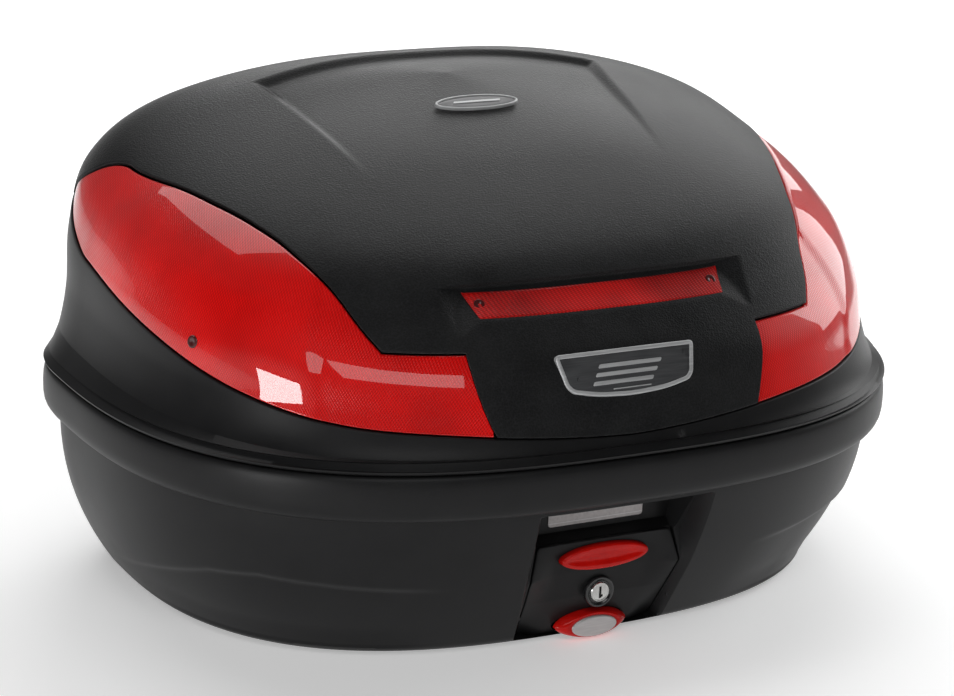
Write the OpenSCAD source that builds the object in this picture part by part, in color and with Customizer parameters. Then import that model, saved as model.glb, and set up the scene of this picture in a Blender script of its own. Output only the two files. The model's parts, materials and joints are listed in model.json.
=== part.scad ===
// Hard luggage top case for a motorcycle.
// Origin: bottom centre. +X to the right of the lock, -Y the lock side, +Y the hinge side, +Z up.

/* [Case] */
// Width of the case
case_w = 590; // [560:1:620]
// Depth from the widest line to the lock side
front_d = 280; // [270:1:290]
// Depth from the widest line to the hinge side, hinges left out
back_d = 152; // [146:1:156]
// Height of the seam between the bottom and the lid
seam_z = 146; // [144:1:150]
// Height of the lid above the seam on the widest line
lid_h = 195; // [180:1:205]
// Wall of both shells
wall = 3.4; // [3:0.1:4]

/* [Bumper band] */
// Lower edge of the band round the rim
band_z = 113; // [110:1:116]
// How far the band stands out from the bottom shell
band_out = 11; // [8:1:12]

/* [Lid skins] */
// Depth of the rebate in the lid that the cover and the lenses sit in
rebate = 4.8; // [4.6:0.1:5]
// Thickness of the textured cover
cover_t = 2.6; // [2.4:0.1:2.8]
// Thickness of the red lenses
lens_t = 2.4; // [2:0.1:2.6]
// Gap between neighbouring skins
skin_gap = 0.6; // [0.4:0.1:1]

/* [Hinges] */
// Distance of each hinge from the middle
hinge_x = 110; // [105:1:115]
// Distance of the hinge axis behind the middle; it lies at the height of the seam
hinge_y = 214.5; // [214:0.1:214.5]
// Radius of the knuckles
knuckle_r = 5.5; // [5:0.1:5.5]
// Radius of the hinge pins
hinge_pin_r = 2.5; // [2:0.1:3]

/* [Lock] */
// Height of the red lid button
button_z = 64; // [62:1:66]
// Height of the key barrel
barrel_z = 36.5; // [36:0.5:38]
// Radius of the key plug
plug_r = 7; // [6.5:0.1:7]
// Height of the red release lever
release_z = 11; // [11:0.5:12]

/* [Carrier plate seat] */
// Half width of the recess that takes the carrier plate
seat_hx = 112; // [105:1:115]
// Depth of that recess
seat_depth = 12; // [10:0.5:12]
// Distance of each tongue slot from the middle
tongue_x = 70; // [60:1:80]
// Width of a tongue slot
tongue_w = 30; // [24:1:36]

/* [Hidden] */

eps = 0.01;
half_w = case_w / 2;
mid_y = 60;                    // the widest plan line lies this far behind the middle
front_n = 2.7;                 // squareness of the plan outline, lock side
back_n = 2.55;                 // and hinge side
front_top_n = 2.75;            // the same at the top of the lid
back_top_n = 3;
crown_y = 76;                  // where the lid closes over its crown
lid_slope = 0.25;              // rise of the lid towards the hinges
lid_z = seam_z + 0.5;          // underside of the lid's rim
rim_z = seam_z - 0.5;          // top of the bottom shell's rim
toe_z = 8;                     // height of the rounded lower edge
floor_z = 4;                   // top of the floor
island_z = seat_depth + 4;     // top of the raised floor over the plate seat
seat_y = [-112, 125];
flange = 10;                   // width of both rims at the seam
panel_t = 3;

// Lid profiles in eight equal steps from the seam to the crown
lid_rise = [0, 0.1, 0.25, 0.45, 0.65, 0.82, 0.94, 1];
lid_front = [1, 0.97, 0.945, 0.905, 0.8, 0.68, 0.38, 0];
lid_side = [1, 0.96, 0.935, 0.925, 0.88, 0.74, 0.42, 0];
lid_back = [1, 0.998, 0.995, 0.985, 0.94, 0.7, 0.42, 0];

// Lower line of the skins, every 18 degrees from the lock side round to the hinge side
skin_low = [0.15, 0.213, 0.247, 0.303, 0.366, 0.415, 0.473, 0.5, 0.49, 0.46, 0.45];
// Upper line of the side lenses, every 10 degrees from 32 to 112 degrees
lens_up = [0.495, 0.615, 0.675, 0.698, 0.7, 0.685, 0.64, 0.567, 0.5];
lens_from = 32;
lens_to = 112;
tab_in = 13.5;                 // inner lower corner of the lens's front tab
tab_up = 17.5;                 // inner upper corner of the tab
tab_out = 30.5;                // where the tab meets the sweep
tab_s = 0.475;

// Angles from the lock side, chosen to fall on the corners of the lenses
side_angles = [
    0, 4.5, 9, tab_in, 14.8, 16.2, tab_up, 22, 26, tab_out, lens_from, 36, 41, 46, 51, 56, 61, 66, 71, 76, 81,
    86, 91, 96, 101, 106, lens_to, 119, 127, 135, 143, 151, 159, 167, 174
];
round_angles = concat(side_angles, [180], [for (i = [len(side_angles) - 1:-1:1]) -side_angles[i]]);
lens_angles = [for (a = side_angles) if (a > tab_in && a < lens_to) a];

function spow(v, e) = sign(v) * pow(abs(v), e);
function mix(a, b, f) = a + (b - a) * f;

// Catmull-Rom curve through evenly spaced values; a crown is level at its last value
function curve(v, s, crown = false) =
    let (n = len(v) - 1)
    let (x = min(max(s, 0), 1) * n)
    let (i = min(floor(x), n - 1))
    let (f = x - i)
    let (a = i == 0 ? 2 * v[0] - v[1] : v[i - 1])
    let (b = v[i])
    let (c = v[i + 1])
    let (d = i + 2 <= n ? v[i + 2] : crown ? v[n - 1] : 2 * v[n] - v[n - 1])
    0.5 * (2 * b + (c - a) * f + (2 * a - 5 * b + 4 * c - d) * f * f + (3 * b - a - 3 * c + d) * f * f * f);

// Plan outline at angle p from the lock side, positive towards +X, measured from the widest line
function plan(p, inset = 0, nf = front_n, nb = back_n) =
    let (front = abs(p) < 90)
    let (n = front ? nf : nb)
    let (d = front ? front_d : back_d)
    [spow(sin(p), 2 / n) * (half_w - inset), -spow(cos(p), 2 / n) * (d - inset)];

function front_share(p) = abs(p) < 90 ? pow(cos(p), 2) : 0;
function back_share(p) = abs(p) < 90 ? 0 : pow(cos(p), 2);
function side_share(p) = pow(sin(p), 2);

// Point on the lid at angle p and s from 0 at the seam to 1 at the crown, inset from its skin
function lid_at(p, s, inset = 0) =
    let (h = curve(lid_rise, s, true))
    let (front = front_share(p) * curve(lid_front, s))
    let (side = side_share(p) * curve(lid_side, s))
    let (k = front + side + back_share(p) * curve(lid_back, s))
    let (q = plan(p, inset, mix(front_n, front_top_n, h), mix(back_n, back_top_n, h)))
    let (y0 = crown_y - mid_y)
    let (y = y0 + (q[1] - y0) * k)
    [q[0] * k, y + mid_y, seam_z + (lid_h - inset) * h + lid_slope * (y - y0) * h];

// Point on the bottom shell below the band; u runs from the toe to the band
function tub_at(p, u, inset = 0) =
    let (ends = front_share(p) + back_share(p))
    let (e = side_share(p) * 2.3 + ends * 1.25)
    let (taper = side_share(p) * 31 + front_share(p) * 44 + back_share(p) * 30)
    let (q = plan(p, band_out + inset + pow(1 - u, e) * taper))
    [q[0], q[1] + mid_y, mix(toe_z, band_z, u)];

function ring_at(p, z, inset) = let (q = plan(p, inset)) [q[0], q[1] + mid_y, z];
function low_line(p) = curve(skin_low, abs(p) / 180);
function sweep_line(p) = curve(lens_up, (abs(p) - lens_from) / (lens_to - lens_from));

// Lower line of the cover, which steps round the lenses
function cover_line(p) =
    let (a = abs(p))
    a < tab_in || a > lens_to ? low_line(p)
    : a < tab_up ? mix(low_line(tab_in), tab_s, (a - tab_in) / (tab_up - tab_in))
    : a < tab_out ? tab_s
    : a < lens_from ? mix(tab_s, lens_up[0], (a - tab_out) / (lens_from - tab_out))
    : sweep_line(p);

// Closed skin from rings of equal length, each listed once round, first to last
module closed_rings(rings) {
    n = len(rings[0]);
    m = len(rings);
    side = [
        for (i = [0:m - 2], j = [0:n - 1], half = [0, 1])
            let (a = i * n + j)
            let (b = i * n + (j + 1) % n)
            half == 0 ? [a, a + n, b] : [b, a + n, b + n]
    ];
    ends = [[for (j = [0:n - 1]) j], [for (j = [n - 1:-1:0]) (m - 1) * n + j]];
    polyhedron([for (r = rings) each r], concat(side, ends), convexity = 6);
}

// Skin patch between two lines of the lid and two insets, over a list of angles
module lid_patch(angles, low, up, steps, outer, inner) {
    closed_rings([
        for (p = angles) concat(
            [for (i = [0:steps]) lid_at(p, mix(low(p), up(p), i / steps), inner)],
            [for (i = [steps:-1:0]) lid_at(p, mix(low(p), up(p), i / steps), outer)]
        )
    ]);
}

// Box with rounded vertical edges
module soft_box(x, y, z, r = 6) {
    hull()
    for (cx = [x[0] + r, x[1] - r], cy = [y[0] + r, y[1] - r])
        translate([cx, cy, z[0]]) cylinder(r = r, h = z[1] - z[0], $fn = 24);
}

module box(x, y, z) {
    translate([x[0], y[0], z[0]]) cube([x[1] - x[0], y[1] - y[0], z[1] - z[0]]);
}

// Cylinder along +Y from y0 to y1
module rod_y(x, z, r, y0, y1) {
    translate([x, y1, z]) rotate([90, 0, 0]) cylinder(r = r, h = y1 - y0, $fn = 48);
}

// Cylinder along X centred on x = 0
module rod_x(y, z, r, half) {
    translate([-half, y, z]) rotate([0, 90, 0]) cylinder(r = r, h = 2 * half, $fn = 48);
}

// Flat shape in the XZ plane pushed out from y0 to y1
module slab_y(points, y0, y1) {
    translate([0, y1, 0]) rotate([90, 0, 0]) linear_extrude(y1 - y0) polygon(points);
}

// Oval in the XZ plane; sharp over 1 draws the ends out to points
function oval(z, a, b, sharp = 1) =
    [for (i = [0:10:350]) [a * cos(i), z + b * sign(sin(i)) * pow(abs(sin(i)), sharp)]];

module both_sides() {
    children();
    mirror([1, 0, 0]) children();
}

// ---- Places shared by several pieces ----
panel_rows = [[5, 51, -153, -158.5], [33, 53.5, -170, -169.5], [54, 56, -182.5, -175], [76, 50, -178, -178]];
pocket_z = [78, 109];
pocket_back = -166;
tray_back = -163;
bay_x = 46.5;
bay_z = [4.5, 75.5];
web_y = [-150, -147];
latch_pivot = [-156, 84];      // y and z of the lid latch's pin
hook_pivot = [-126, 26];       // y and z of the plate latch's pin
latch_pin_r = 2.5;
run = 0.05;                    // radial play of whatever turns
cover_screw_z = [24, 66];
cover_screw_x = 58;
block_back = -157.6;           // back of the thicker wall behind the panel's foot
bay_wall_back = -147.2;        // back of the floor block beside the bay
leaf_y = [209.6, 212.6];
leaf_screw_dx = 15;
base_screw_z = 126;
lid_screw_z = 167;
striker_x = 12;
gap_s = skin_gap / 230;        // the gap between skins as a share of the lid's profile
clip_angles = [20, 62, 108, 155];
clip_s = 0.8;
peg_at = [64, 0.4];            // angle and profile share of the pegs that hold the side lenses
strip_half = 16.6;             // half angle covered by the red strip
strip_s = [0.556, 0.622];
strip_screw_at = 15.6;
badge_s = 0.394;
crest_s = 0.94;
striker_y = [-186.5, -183.5];

// Screw along +Z with its head from 0 to 2.2 and its shank below
module screw(length, grow = 0) {
    cylinder(r = 4 + grow, h = 2.2, $fn = 48);
    translate([0, 0, -length]) cylinder(r = 2 + grow, h = length + eps, $fn = 48);
}

module along_y() { rotate([-90, 0, 0]) children(); }

module at_base_screws() {
    both_sides()
    for (d = [-leaf_screw_dx, leaf_screw_dx])
        translate([hinge_x + d, leaf_y[1], base_screw_z]) along_y() children();
}

module at_leaf_screws() {
    both_sides()
    for (d = [-leaf_screw_dx, leaf_screw_dx])
        translate([hinge_x + d, leaf_y[1], lid_screw_z]) along_y() children();
}

module at_cover_screws() {
    both_sides()
    for (z = cover_screw_z)
        translate([cover_screw_x, -144, z]) along_y() children();
}

// Pad that gives a hinge leaf a flat seat
module hinge_pad(z0, z1) {
    both_sides()
    hull() {
        box([hinge_x - 26, hinge_x + 26], [199, leaf_y[0]], [z0, z1]);
        box([hinge_x - 26, hinge_x + 26], [196, 203], [z0 - 6, z1 + 6]);
    }
}

module hinge_relief() {
    both_sides() box([hinge_x - 27, hinge_x + 27], [208, 230], [seam_z - 7, seam_z + 8]);
}

// Outline of the lock panel, grown sideways by g, at y offset d from its face
function panel_row(r, g, d) = [
    [-r[1] - g, r[2] + d, r[0]], [-r[1] * 0.7, r[3] + d, r[0]],
    [r[1] * 0.7, r[3] + d, r[0]], [r[1] + g, r[2] + d, r[0]]
];

// ---- Bottom shell ----
module bottom_outer() {
    toe = [[0, 22], [2, 10], [5, 3]];
    band = [[band_z + 1.5, 4], [band_z + 5, 1.2], [band_z + 12, 0], [seam_z - 14, 0], [seam_z - 5, 0.8],
        [rim_z - 1.2, 2], [rim_z, 3.4]];
    closed_rings(concat(
        [for (t = toe) [for (p = round_angles) let (q = tub_at(p, 0, t[1])) [q[0], q[1], t[0]]]],
        [for (u = [0, 0.14, 0.28, 0.42, 0.56, 0.7, 0.85, 1]) [for (p = round_angles) tub_at(p, u)]],
        [for (b = band) [for (p = round_angles) ring_at(p, b[0], b[1])]]
    ));
}

module bottom_inner() {
    rim = [[band_z + 4, band_out + wall], [band_z + 9, wall], [seam_z - 18, wall], [seam_z - 12, flange],
        [seam_z, flange]];
    closed_rings(concat(
        [[for (p = round_angles) let (q = tub_at(p, 0, 12)) [q[0], q[1], floor_z]]],
        [for (u = [0.03, 0.2, 0.4, 0.6, 0.8, 0.97]) [for (p = round_angles) tub_at(p, u, wall)]],
        [for (b = rim) [for (p = round_angles) ring_at(p, b[0], b[1])]]
    ));
}

module seal_ring(z0, z1, inset0, inset1) {
    translate([0, mid_y, z0])
    linear_extrude(z1 - z0)
    difference() {
        polygon([for (p = round_angles) plan(p, inset0)]);
        polygon([for (p = round_angles) plan(p, inset1)]);
    }
}

// Finger pocket, the panel's seat and the bay behind it
module lock_cutters() {
    hull() {
        box([-60, 60], [-232, -230], pocket_z);
        box([-51, 51], [pocket_back - 1, pocket_back], [pocket_z[0] + 2, pocket_z[1] - 2]);
    }
    seat = [for (r = panel_rows) each panel_row(r, 0.6, panel_t)];
    front = [for (q = seat) [q[0] * 1.06, -232, q[2]]];
    top = [for (x = [-49, 49], y = [-232, -175]) [x, y, pocket_z[0] + 1]];
    hull()
    for (q = concat(seat, front, top)) translate(q) cube(eps);
    box([-bay_x, bay_x], [-232, web_y[1] + 0.5], bay_z);
    slab_y(oval(release_z, 28, 10.8, 1.3), -232, -157);
}

// Carrier plate's recess, its tongue slots and the hook's window
module plate_cutters() {
    soft_box([-seat_hx, seat_hx], seat_y, [-1, seat_depth]);
    both_sides()
    soft_box([tongue_x - tongue_w / 2, tongue_x + tongue_w / 2], [seat_y[1] - 8, seat_y[1] + 12], [3, 9], 2);
    soft_box([-15, 15], [-138, seat_y[0] + 6], [-1, 11], 2);
}

module bottom_shell() {
    color("#1c1d1f")
    difference() {
        union() {
            difference() {
                bottom_outer();
                difference() {
                    bottom_inner();
                    soft_box([-seat_hx - 4, seat_hx + 4], [seat_y[0] - 4, seat_y[1] + 16], [-1, island_z]);
                    hull() box([-63, 63], [-232, tray_back], [-1, pocket_z[1] + 3]);
                    box([-63, 63], [-232, block_back], [-1, 30.5]);
                    box([-63, 63], [-232, bay_wall_back], [-1, 17.6]);
                }
            }
            hinge_pad(118, seam_z - 10);
        }
        lock_cutters();
        plate_cutters();
        seal_ring(rim_z - 2.7, seam_z, 4.6, 8.6);
        hinge_relief();
        at_base_screws() screw(14, 0.1);
        at_cover_screws() screw(28, 0.1);
    }
}

module rim_seal() {
    color("#111214") seal_ring(rim_z - 2.6, rim_z + 0.5, 4.8, 8.4);
}

// ---- Lock ----
module lock_panel() {
    face = [for (r = panel_rows) each panel_row(r, 0, 0)];
    back = [for (r = panel_rows) each panel_row(r, 0, panel_t)];
    grid = [for (i = [0:2], j = [0:2], half = [0, 1])
        let (a = i * 4 + j)
        half == 0 ? [a, a + 4, a + 1] : [a + 1, a + 4, a + 5]];
    rim = [0, 1, 2, 3, 7, 11, 15, 14, 13, 12, 8, 4];
    edge = [for (i = [0:11], half = [0, 1])
        let (a = rim[i])
        let (b = rim[(i + 1) % 12])
        half == 0 ? [a, b, a + 16] : [b, b + 16, a + 16]];
    color("#202124")
    difference() {
        polyhedron(concat(face, back), concat(grid, [for (t = grid) [t[2] + 16, t[1] + 16, t[0] + 16]], edge));
        slab_y(oval(button_z, 33.5, 9.4), -190, -160);
        rod_y(0, barrel_z, 10.1, -190, -160);
        slab_y(oval(release_z, 28, 10.8, 1.3), -190, -150);
    }
}

module name_label() {
    color("#b9b6b4")
    box([-37, 34.5], [pocket_back - 0.8, pocket_back - eps], [84, 106]);
}

module lock_housing() {
    color("#18191b")
    difference() {
        union() {
            slab_yz([[web_y[1], 6], [-151, 6], [-158.5, 20], [-164.8, 33], [-167, 40], [-167, 75], [web_y[1], 75]], 46);
            both_sides()
            {
                box([45, 63], [block_back + 0.3, web_y[1]], [cover_screw_z[0] - 6, cover_screw_z[0] + 6]);
                box([45, 63], [tray_back + 0.1, web_y[1]], [cover_screw_z[1] - 6, cover_screw_z[1] + 6]);
            }
        }
        difference() {
            box([-43.5, 43.5], [-169, web_y[0]], [8.5, 72.5]);
            rod_y(0, barrel_z, 12.6, -168, web_y[0]);
            both_sides() rod_y(20, button_z, 2.4, -156, web_y[0]);
        }
        rod_y(0, barrel_z, 10.02, -170, -140);
        box([-10, 10], [-164, -140], [58, 80]);
        both_sides() box([12.8, 21], [-160, -140], [44.5, 51]);
        at_cover_screws() screw(28, 0.1);
    }
}

module lock_barrel() {
    color("#0c0c0d")
    difference() {
        union() {
            rod_y(0, barrel_z, 10, -173.8, -150.5);
            rod_y(0, barrel_z, 10.9, -175.5, -173.6);
        }
        rod_y(0, barrel_z, plug_r + run, -181, -149);
    }
}

module lock_plug() {
    color("#c9c9c6")
    difference() {
        rod_y(0, barrel_z, plug_r, -176, -146.6);
        box([-1, 1], [-177, -168], [barrel_z - 4, barrel_z + 4]);
    }
}

module lock_cam() {
    color("#9a9a98")
    union() {
        rod_y(0, barrel_z, 5.5, -146.6, -143.8);
        box([-10.5, 0], [-146.6, -143.8], [barrel_z - 2.5, barrel_z + 2.5]);
    }
}

module lid_button() {
    color("#c4120f")
    union() {
        slab_y(oval(button_z, 30.8, 7), -181.2, -179.7);
        slab_y(oval(button_z, 33, 8.9), -179.8, -171);
        slab_y(oval(button_z, 36, 6.9), -171.1, -169.6);
    }
}

module button_plunger() {
    color("#2a2a2c")
    union() {
        box([-24, 24], [-169.6, -167.6], [button_z - 4, button_z + 4]);
        box([-4, 4], [-167.7, latch_pivot[0] - 3], [button_z - 3, button_z]);
    }
}

// Rocking lever: the plunger pushes its foot and its nose holds the lid's striker
module lid_latch() {
    y = latch_pivot[0];
    z = latch_pivot[1];
    color("#8f9092")
    difference() {
        union() {
            rod_x(y, z, 5.5, 8);
            box([-8, 8], [y - 2.5, y + 2.5], [z - 22, z + 10]);
            box([-8, 8], [y - 0.8, y + 2.8], [z, 127]);
            box([-8, 8], [-197, y + 2.8], [122, 127]);
            box([-7, 7], [-197, -192], [122, 137]);
            box([-7, 7], [-193, -188.8], [132, 137]);
        }
        rod_x(y, z, latch_pin_r + run, 10);
    }
}

module lid_latch_pin() {
    color("#c0c0c0") rod_x(latch_pivot[0], latch_pivot[1], latch_pin_r, 18);
}

module latch_guard() {
    color("#1d1e20")
    difference() {
        union() {
            box([-18, 18], [-204.6, -147.5], [pocket_z[1] + 3.2, 141]);
            box([-18, 18], [tray_back + 0.2, -147.5], [75.2, pocket_z[1] + 4]);
        }
        box([-15.5, 15.5], [-209, -150], [pocket_z[1] + 3, 138.8]);
        box([-15.5, 15.5], [-165, -150], [74, pocket_z[1] + 4]);
        box([-15.5, 15.5], [-195, -172], [138, 142]);
        rod_x(latch_pivot[0], latch_pivot[1], latch_pin_r, 19);
    }
}

module mechanism_cover() {
    color("#1a1b1d")
    difference() {
        union() {
            box([-48, 48], [web_y[1] + 0.1, -117], [floor_z + 0.2, 75]);
            box([-48, 48], [web_y[1] + 0.1, -113], [island_z + 0.3, 75]);
            both_sides()
            for (z = cover_screw_z) box([45, 63], [web_y[1] + 0.1, -144], [z - 6, z + 6]);
        }
        difference() {
            box([-45.5, 45.5], [-148, -119.5], [floor_z - 1, 72.5]);
            both_sides() box([22, 25], [hook_pivot[0] - 8, -118], [hook_pivot[1] - 8, hook_pivot[1] + 8]);
        }
        box([-21.5, 21.5], [-148, -115.5], [island_z + 3, 72.5]);
        box([-14, 14], [-126, -110], [floor_z - 1, 21]);
        rod_x(hook_pivot[0], hook_pivot[1], latch_pin_r, 25.5);
        at_cover_screws() screw(28, 0.1);
    }
}

module plate_latch_pin() {
    color("#c0c0c0") rod_x(hook_pivot[0], hook_pivot[1], latch_pin_r, 25);
}

// Hook that holds the case down on its carrier plate
module plate_latch() {
    y = hook_pivot[0];
    z = hook_pivot[1];
    color("#8f9092")
    difference() {
        union() {
            rod_x(y, z, 5.5, 20.5);
            box([-20.5, 20.5], [y - 2.5, y + 2.5], [z, z + 12]);
            both_sides() box([13.5, 20.5], [y - 2.5, y + 2.5], [z, z + 24.5]);
            box([-12, 12], [y - 2.5, y + 2.5], [4.4, z]);
            slab_yz([[y - 2.5, 4.4], [-111, 4.4], [-108, 5.6], [-109.5, 8.8], [y - 2.5, 8.8]], 12);
        }
        rod_x(y, z, latch_pin_r + run, 22);
    }
}

// Flat shape in the YZ plane, half wide to each side of x = 0
module slab_yz(points, half) {
    translate([-half, 0, 0])
    rotate([90, 0, 90])
    linear_extrude(2 * half) polygon(points);
}

module release_lever() {
    color("#c4120f")
    union() {
        slab_y(oval(release_z, 27.2, 10, 1.3), -168, -162.5);
        slab_y(oval(release_z, 25, 8.6, 1.3), -170, -167.9);
    }
}

module release_badge() {
    color("#d8d8d6")
    slab_y(oval(release_z - 0.6, 17, 7.4), -171.5, -170.1);
}

// Stem, yoke round the key barrel and two rods that push the plate latch
module release_yoke() {
    color("#2a2a2c")
    union() {
        box([-8, 8], [-162.5, -158], [release_z - 2, release_z + 4]);
        box([-20, 20], [-159, -156], [release_z - 2, release_z + 5]);
        both_sides() box([14, 20], [-159, -156], [release_z, 30]);
        both_sides() box([14, 20], [-163.5, -156], [27.5, 30]);
        both_sides() box([14, 20], [-163.5, -160.5], [27.5, 49.5]);
        both_sides() box([14, 20], [-163.5, hook_pivot[0] - 3], [46.2, 49.5]);
    }
}

// Coil along +Y about x, z, with one closed turn at each end left out
module coil(x, z, r, wire, y0, y1, turns) {
    sides = 6;
    per_turn = 8;
    pitch = (y1 - y0 - 2 * wire) / turns;
    closed_rings([
        for (i = [0:turns * per_turn])
            let (a = i * 360 / per_turn)
            let (y = y0 + wire + pitch * i / per_turn)
            [for (k = [0:sides - 1])
                let (b = -k * 360 / sides)
                let (q = r + wire * cos(b))
                [x + q * cos(a), y + wire * sin(b), z + q * sin(a)]]
    ]);
}

module button_springs() {
    color("#b5b5b5")
    for (x = [-20, 20]) coil(x, button_z, 3.4, 0.45, -167.4, web_y[0] - 0.2, 5);
}

module release_springs() {
    color("#b5b5b5")
    for (x = [-17, 17]) coil(x, release_z + 24, 3, 0.45, -160.3, web_y[0] - 0.2, 4);
}

module cover_screws() {
    color("#3a3a3c") at_cover_screws() screw(25);
}

// ---- Hinges ----
module hinge_base(x) {
    color("#26272a")
    difference() {
        union() {
            box([x - 25, x + 25], leaf_y, [117, seam_z - 7]);
            for (d = [-1, 1])
                translate([x + d * 18, 0, 0]) {
                    box([-7, 7], [leaf_y[0], hinge_y], [seam_z - 8, seam_z]);
                    translate([0, hinge_y, seam_z]) rod_x(0, 0, knuckle_r, 7);
                }
        }
        translate([x, hinge_y, seam_z]) rod_x(0, 0, hinge_pin_r, 27);
        at_base_screws() screw(14, 0.1);
    }
}

module hinge_leaf(x) {
    color("#26272a")
    difference() {
        union() {
            box([x - 25, x + 25], leaf_y, [seam_z + 8.5, 178]);
            box([x - 10.5, x + 10.5], [leaf_y[0], hinge_y], [seam_z, seam_z + 9]);
            translate([x, hinge_y, seam_z]) rod_x(0, 0, knuckle_r, 10.5);
        }
        translate([x, hinge_y, seam_z]) rod_x(0, 0, hinge_pin_r + run, 27);
        at_leaf_screws() screw(14, 0.1);
    }
}

module hinge_base_left() { hinge_base(-hinge_x); }
module hinge_base_right() { hinge_base(hinge_x); }
module hinge_leaf_left() { hinge_leaf(-hinge_x); }
module hinge_leaf_right() { hinge_leaf(hinge_x); }

module hinge_pins() {
    color("#c0c0c0")
    both_sides() translate([hinge_x, hinge_y, seam_z]) rod_x(0, 0, hinge_pin_r, 25);
}

module base_screws() {
    color("#3a3a3c") at_base_screws() screw(13);
}

module leaf_screws() {
    color("#3a3a3c") at_leaf_screws() screw(13);
}

// ---- Lid ----
function lid_ring(s, inset) = [for (p = round_angles) lid_at(p, s, inset)];
function lid_line_ring(ds, inset) = [for (p = round_angles) lid_at(p, low_line(p) + ds, inset)];
function crown_rings(inset, steps, last) = [
    for (i = [1:steps]) [for (p = round_angles) lid_at(p, mix(low_line(p), last, i / steps), inset)]
];

module lid_outer() {
    closed_rings(concat(
        [[for (p = round_angles) ring_at(p, lid_z, 3.2)], [for (p = round_angles) ring_at(p, lid_z + 1.4, 1)]],
        [for (f = [0.25, 0.5, 0.75]) [for (p = round_angles) lid_at(p, low_line(p) * f)]],
        [lid_line_ring(-0.004, 0), lid_line_ring(-0.004, rebate)],
        crown_rings(rebate, 10, 0.985)
    ));
}

module lid_inner() {
    closed_rings(concat(
        [[for (p = round_angles) ring_at(p, seam_z - 1, flange)], [for (p = round_angles) ring_at(p, lid_z + 4, flange)]],
        [[for (p = round_angles) ring_at(p, lid_z + 8, wall + 1)]],
        [for (f = [0.5, 0.75]) [for (p = round_angles) lid_at(p, low_line(p) * f, wall)]],
        [lid_line_ring(-0.03, wall), lid_line_ring(0, rebate + wall)],
        crown_rings(rebate + wall, 9, 0.98)
    ));
}

// Stiffening rib across the inside of the lid
module lid_rib(y) {
    hull()
    for (x = [-150, 150])
        translate([x, y, 285 + 0.2 * (y - 60)]) cylinder(r = 2, h = 60, $fn = 12);
}

// Level along the skin at p = 0: how far the skin leans back there, in degrees
function lean_at(s) = let (a = lid_at(0, s - 0.01)) let (b = lid_at(0, s + 0.01)) atan2(b[1] - a[1], b[2] - a[2]);

// Outward direction of the skin
function skin_normal(p, s) =
    let (n = cross(lid_at(p + 0.5, s) - lid_at(p - 0.5, s), lid_at(p, s + 0.005) - lid_at(p, s - 0.005)))
    n / norm(n);

// Puts a piece on the skin with its own +Z pointing out
module on_skin(p, s, inset = 0) {
    n = skin_normal(p, s);
    translate(lid_at(p, s, inset)) rotate([0, acos(n[2]), atan2(n[1], n[0])]) children();
}

// Puts a flat badge on the middle of the skin, +Y up the slope
module on_middle(s) {
    translate(lid_at(0, s)) rotate([90 - lean_at(s), 0, 0]) children();
}

module at_strip_screws() {
    both_sides() on_skin(strip_screw_at, (strip_s[0] + strip_s[1]) / 2, 2.5) children();
}

module at_striker_screws() {
    both_sides() translate([7, -197, 151]) rotate([180, 0, 0]) mirror([0, 0, 1]) children();
}

// Tongues of the cover that snap through slots in the lid shell
module clips(grow, top) {
    for (a = clip_angles, m = [-1, 1]) {
        q = lid_at(a * m, clip_s, rebate);
        hull() box([q[0] - 6 - grow, q[0] + 6 + grow], [q[1] - 1.6 - grow, q[1] + 1.6 + grow],
            [q[2] - 12 - grow, q[2] + top]);
    }
}

module lid_shell() {
    color("#1f2023")
    difference() {
        union() {
            difference() {
                lid_outer();
                lid_inner();
            }
            intersection() {
                lid_outer();
                union() {
                    hull() box([-22, 22], [-230, -186], [154, 161]);
                    for (y = [0, 70, 140]) lid_rib(y);
                    both_sides() hull() box([84, 99], [-230, -140], [226, 250]);
                }
            }
            hinge_pad(seam_z + 8.5, 178);
        }
        hinge_relief();
        at_leaf_screws() screw(14, 0.1);
        at_striker_screws() screw(8, 0.1);
        at_strip_screws() screw(13, 0.1);
        both_sides() on_skin(peg_at[0], peg_at[1]) peg(0.1);
        clips(0.4, 20);
    }
}

// Profile shares from the cover's lower line to the crown
function cover_ring(f, inset) = [
    for (p = round_angles) lid_at(p, mix(cover_line(p) + gap_s, 0.985, f), inset)
];

module strip_window(grow, outer, inner) {
    angles = [for (i = [-5:5]) i * (strip_half + grow) / 5];
    lid_patch(angles, function(p) strip_s[0] - grow / 60, function(p) strip_s[1] + grow / 60, 3, outer, inner);
}

module badge_outline(grow) {
    polygon([
        [-51.5 - grow, 15.5 + grow], [51.5 + grow, 15.5 + grow], [47 + grow, -5.5], [43 + grow, -10 - grow],
        [25, -14 - grow], [0, -15.5 - grow], [-25, -14 - grow], [-43 - grow, -10 - grow], [-47 - grow, -5.5]
    ]);
}

module crest_outline(grow) {
    polygon([for (i = [0:10:350]) [(32 + grow) * cos(i), (9 + grow) * sin(i)]]);
}

module lid_cover() {
    rows = 11;
    color("#2b2c2e")
    difference() {
        union() {
            closed_rings(concat(
                [for (i = [rows:-1:0]) cover_ring(i / rows, cover_t)],
                [for (i = [0:rows]) cover_ring(i / rows, 0)]
            ));
            intersection() {
                clips(0, 6);
                closed_rings([for (i = [0:rows]) cover_ring(i / rows, cover_t / 2)]);
            }
        }
        strip_window(0.4, -6, rebate + 4);
        on_middle(badge_s) translate([0, 0, -2.3]) linear_extrude(8) badge_outline(0.2);
        on_middle(crest_s) translate([0, 0, -1.5]) linear_extrude(8) crest_outline(0.2);
    }
}

module side_patch(outer, inner) {
    angles = concat([tab_in + 0.5], lens_angles, [lens_to - 1]);
    lid_patch(angles, function(p) low_line(p) + gap_s, function(p) cover_line(p) - gap_s, 6, outer, inner);
}

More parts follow.
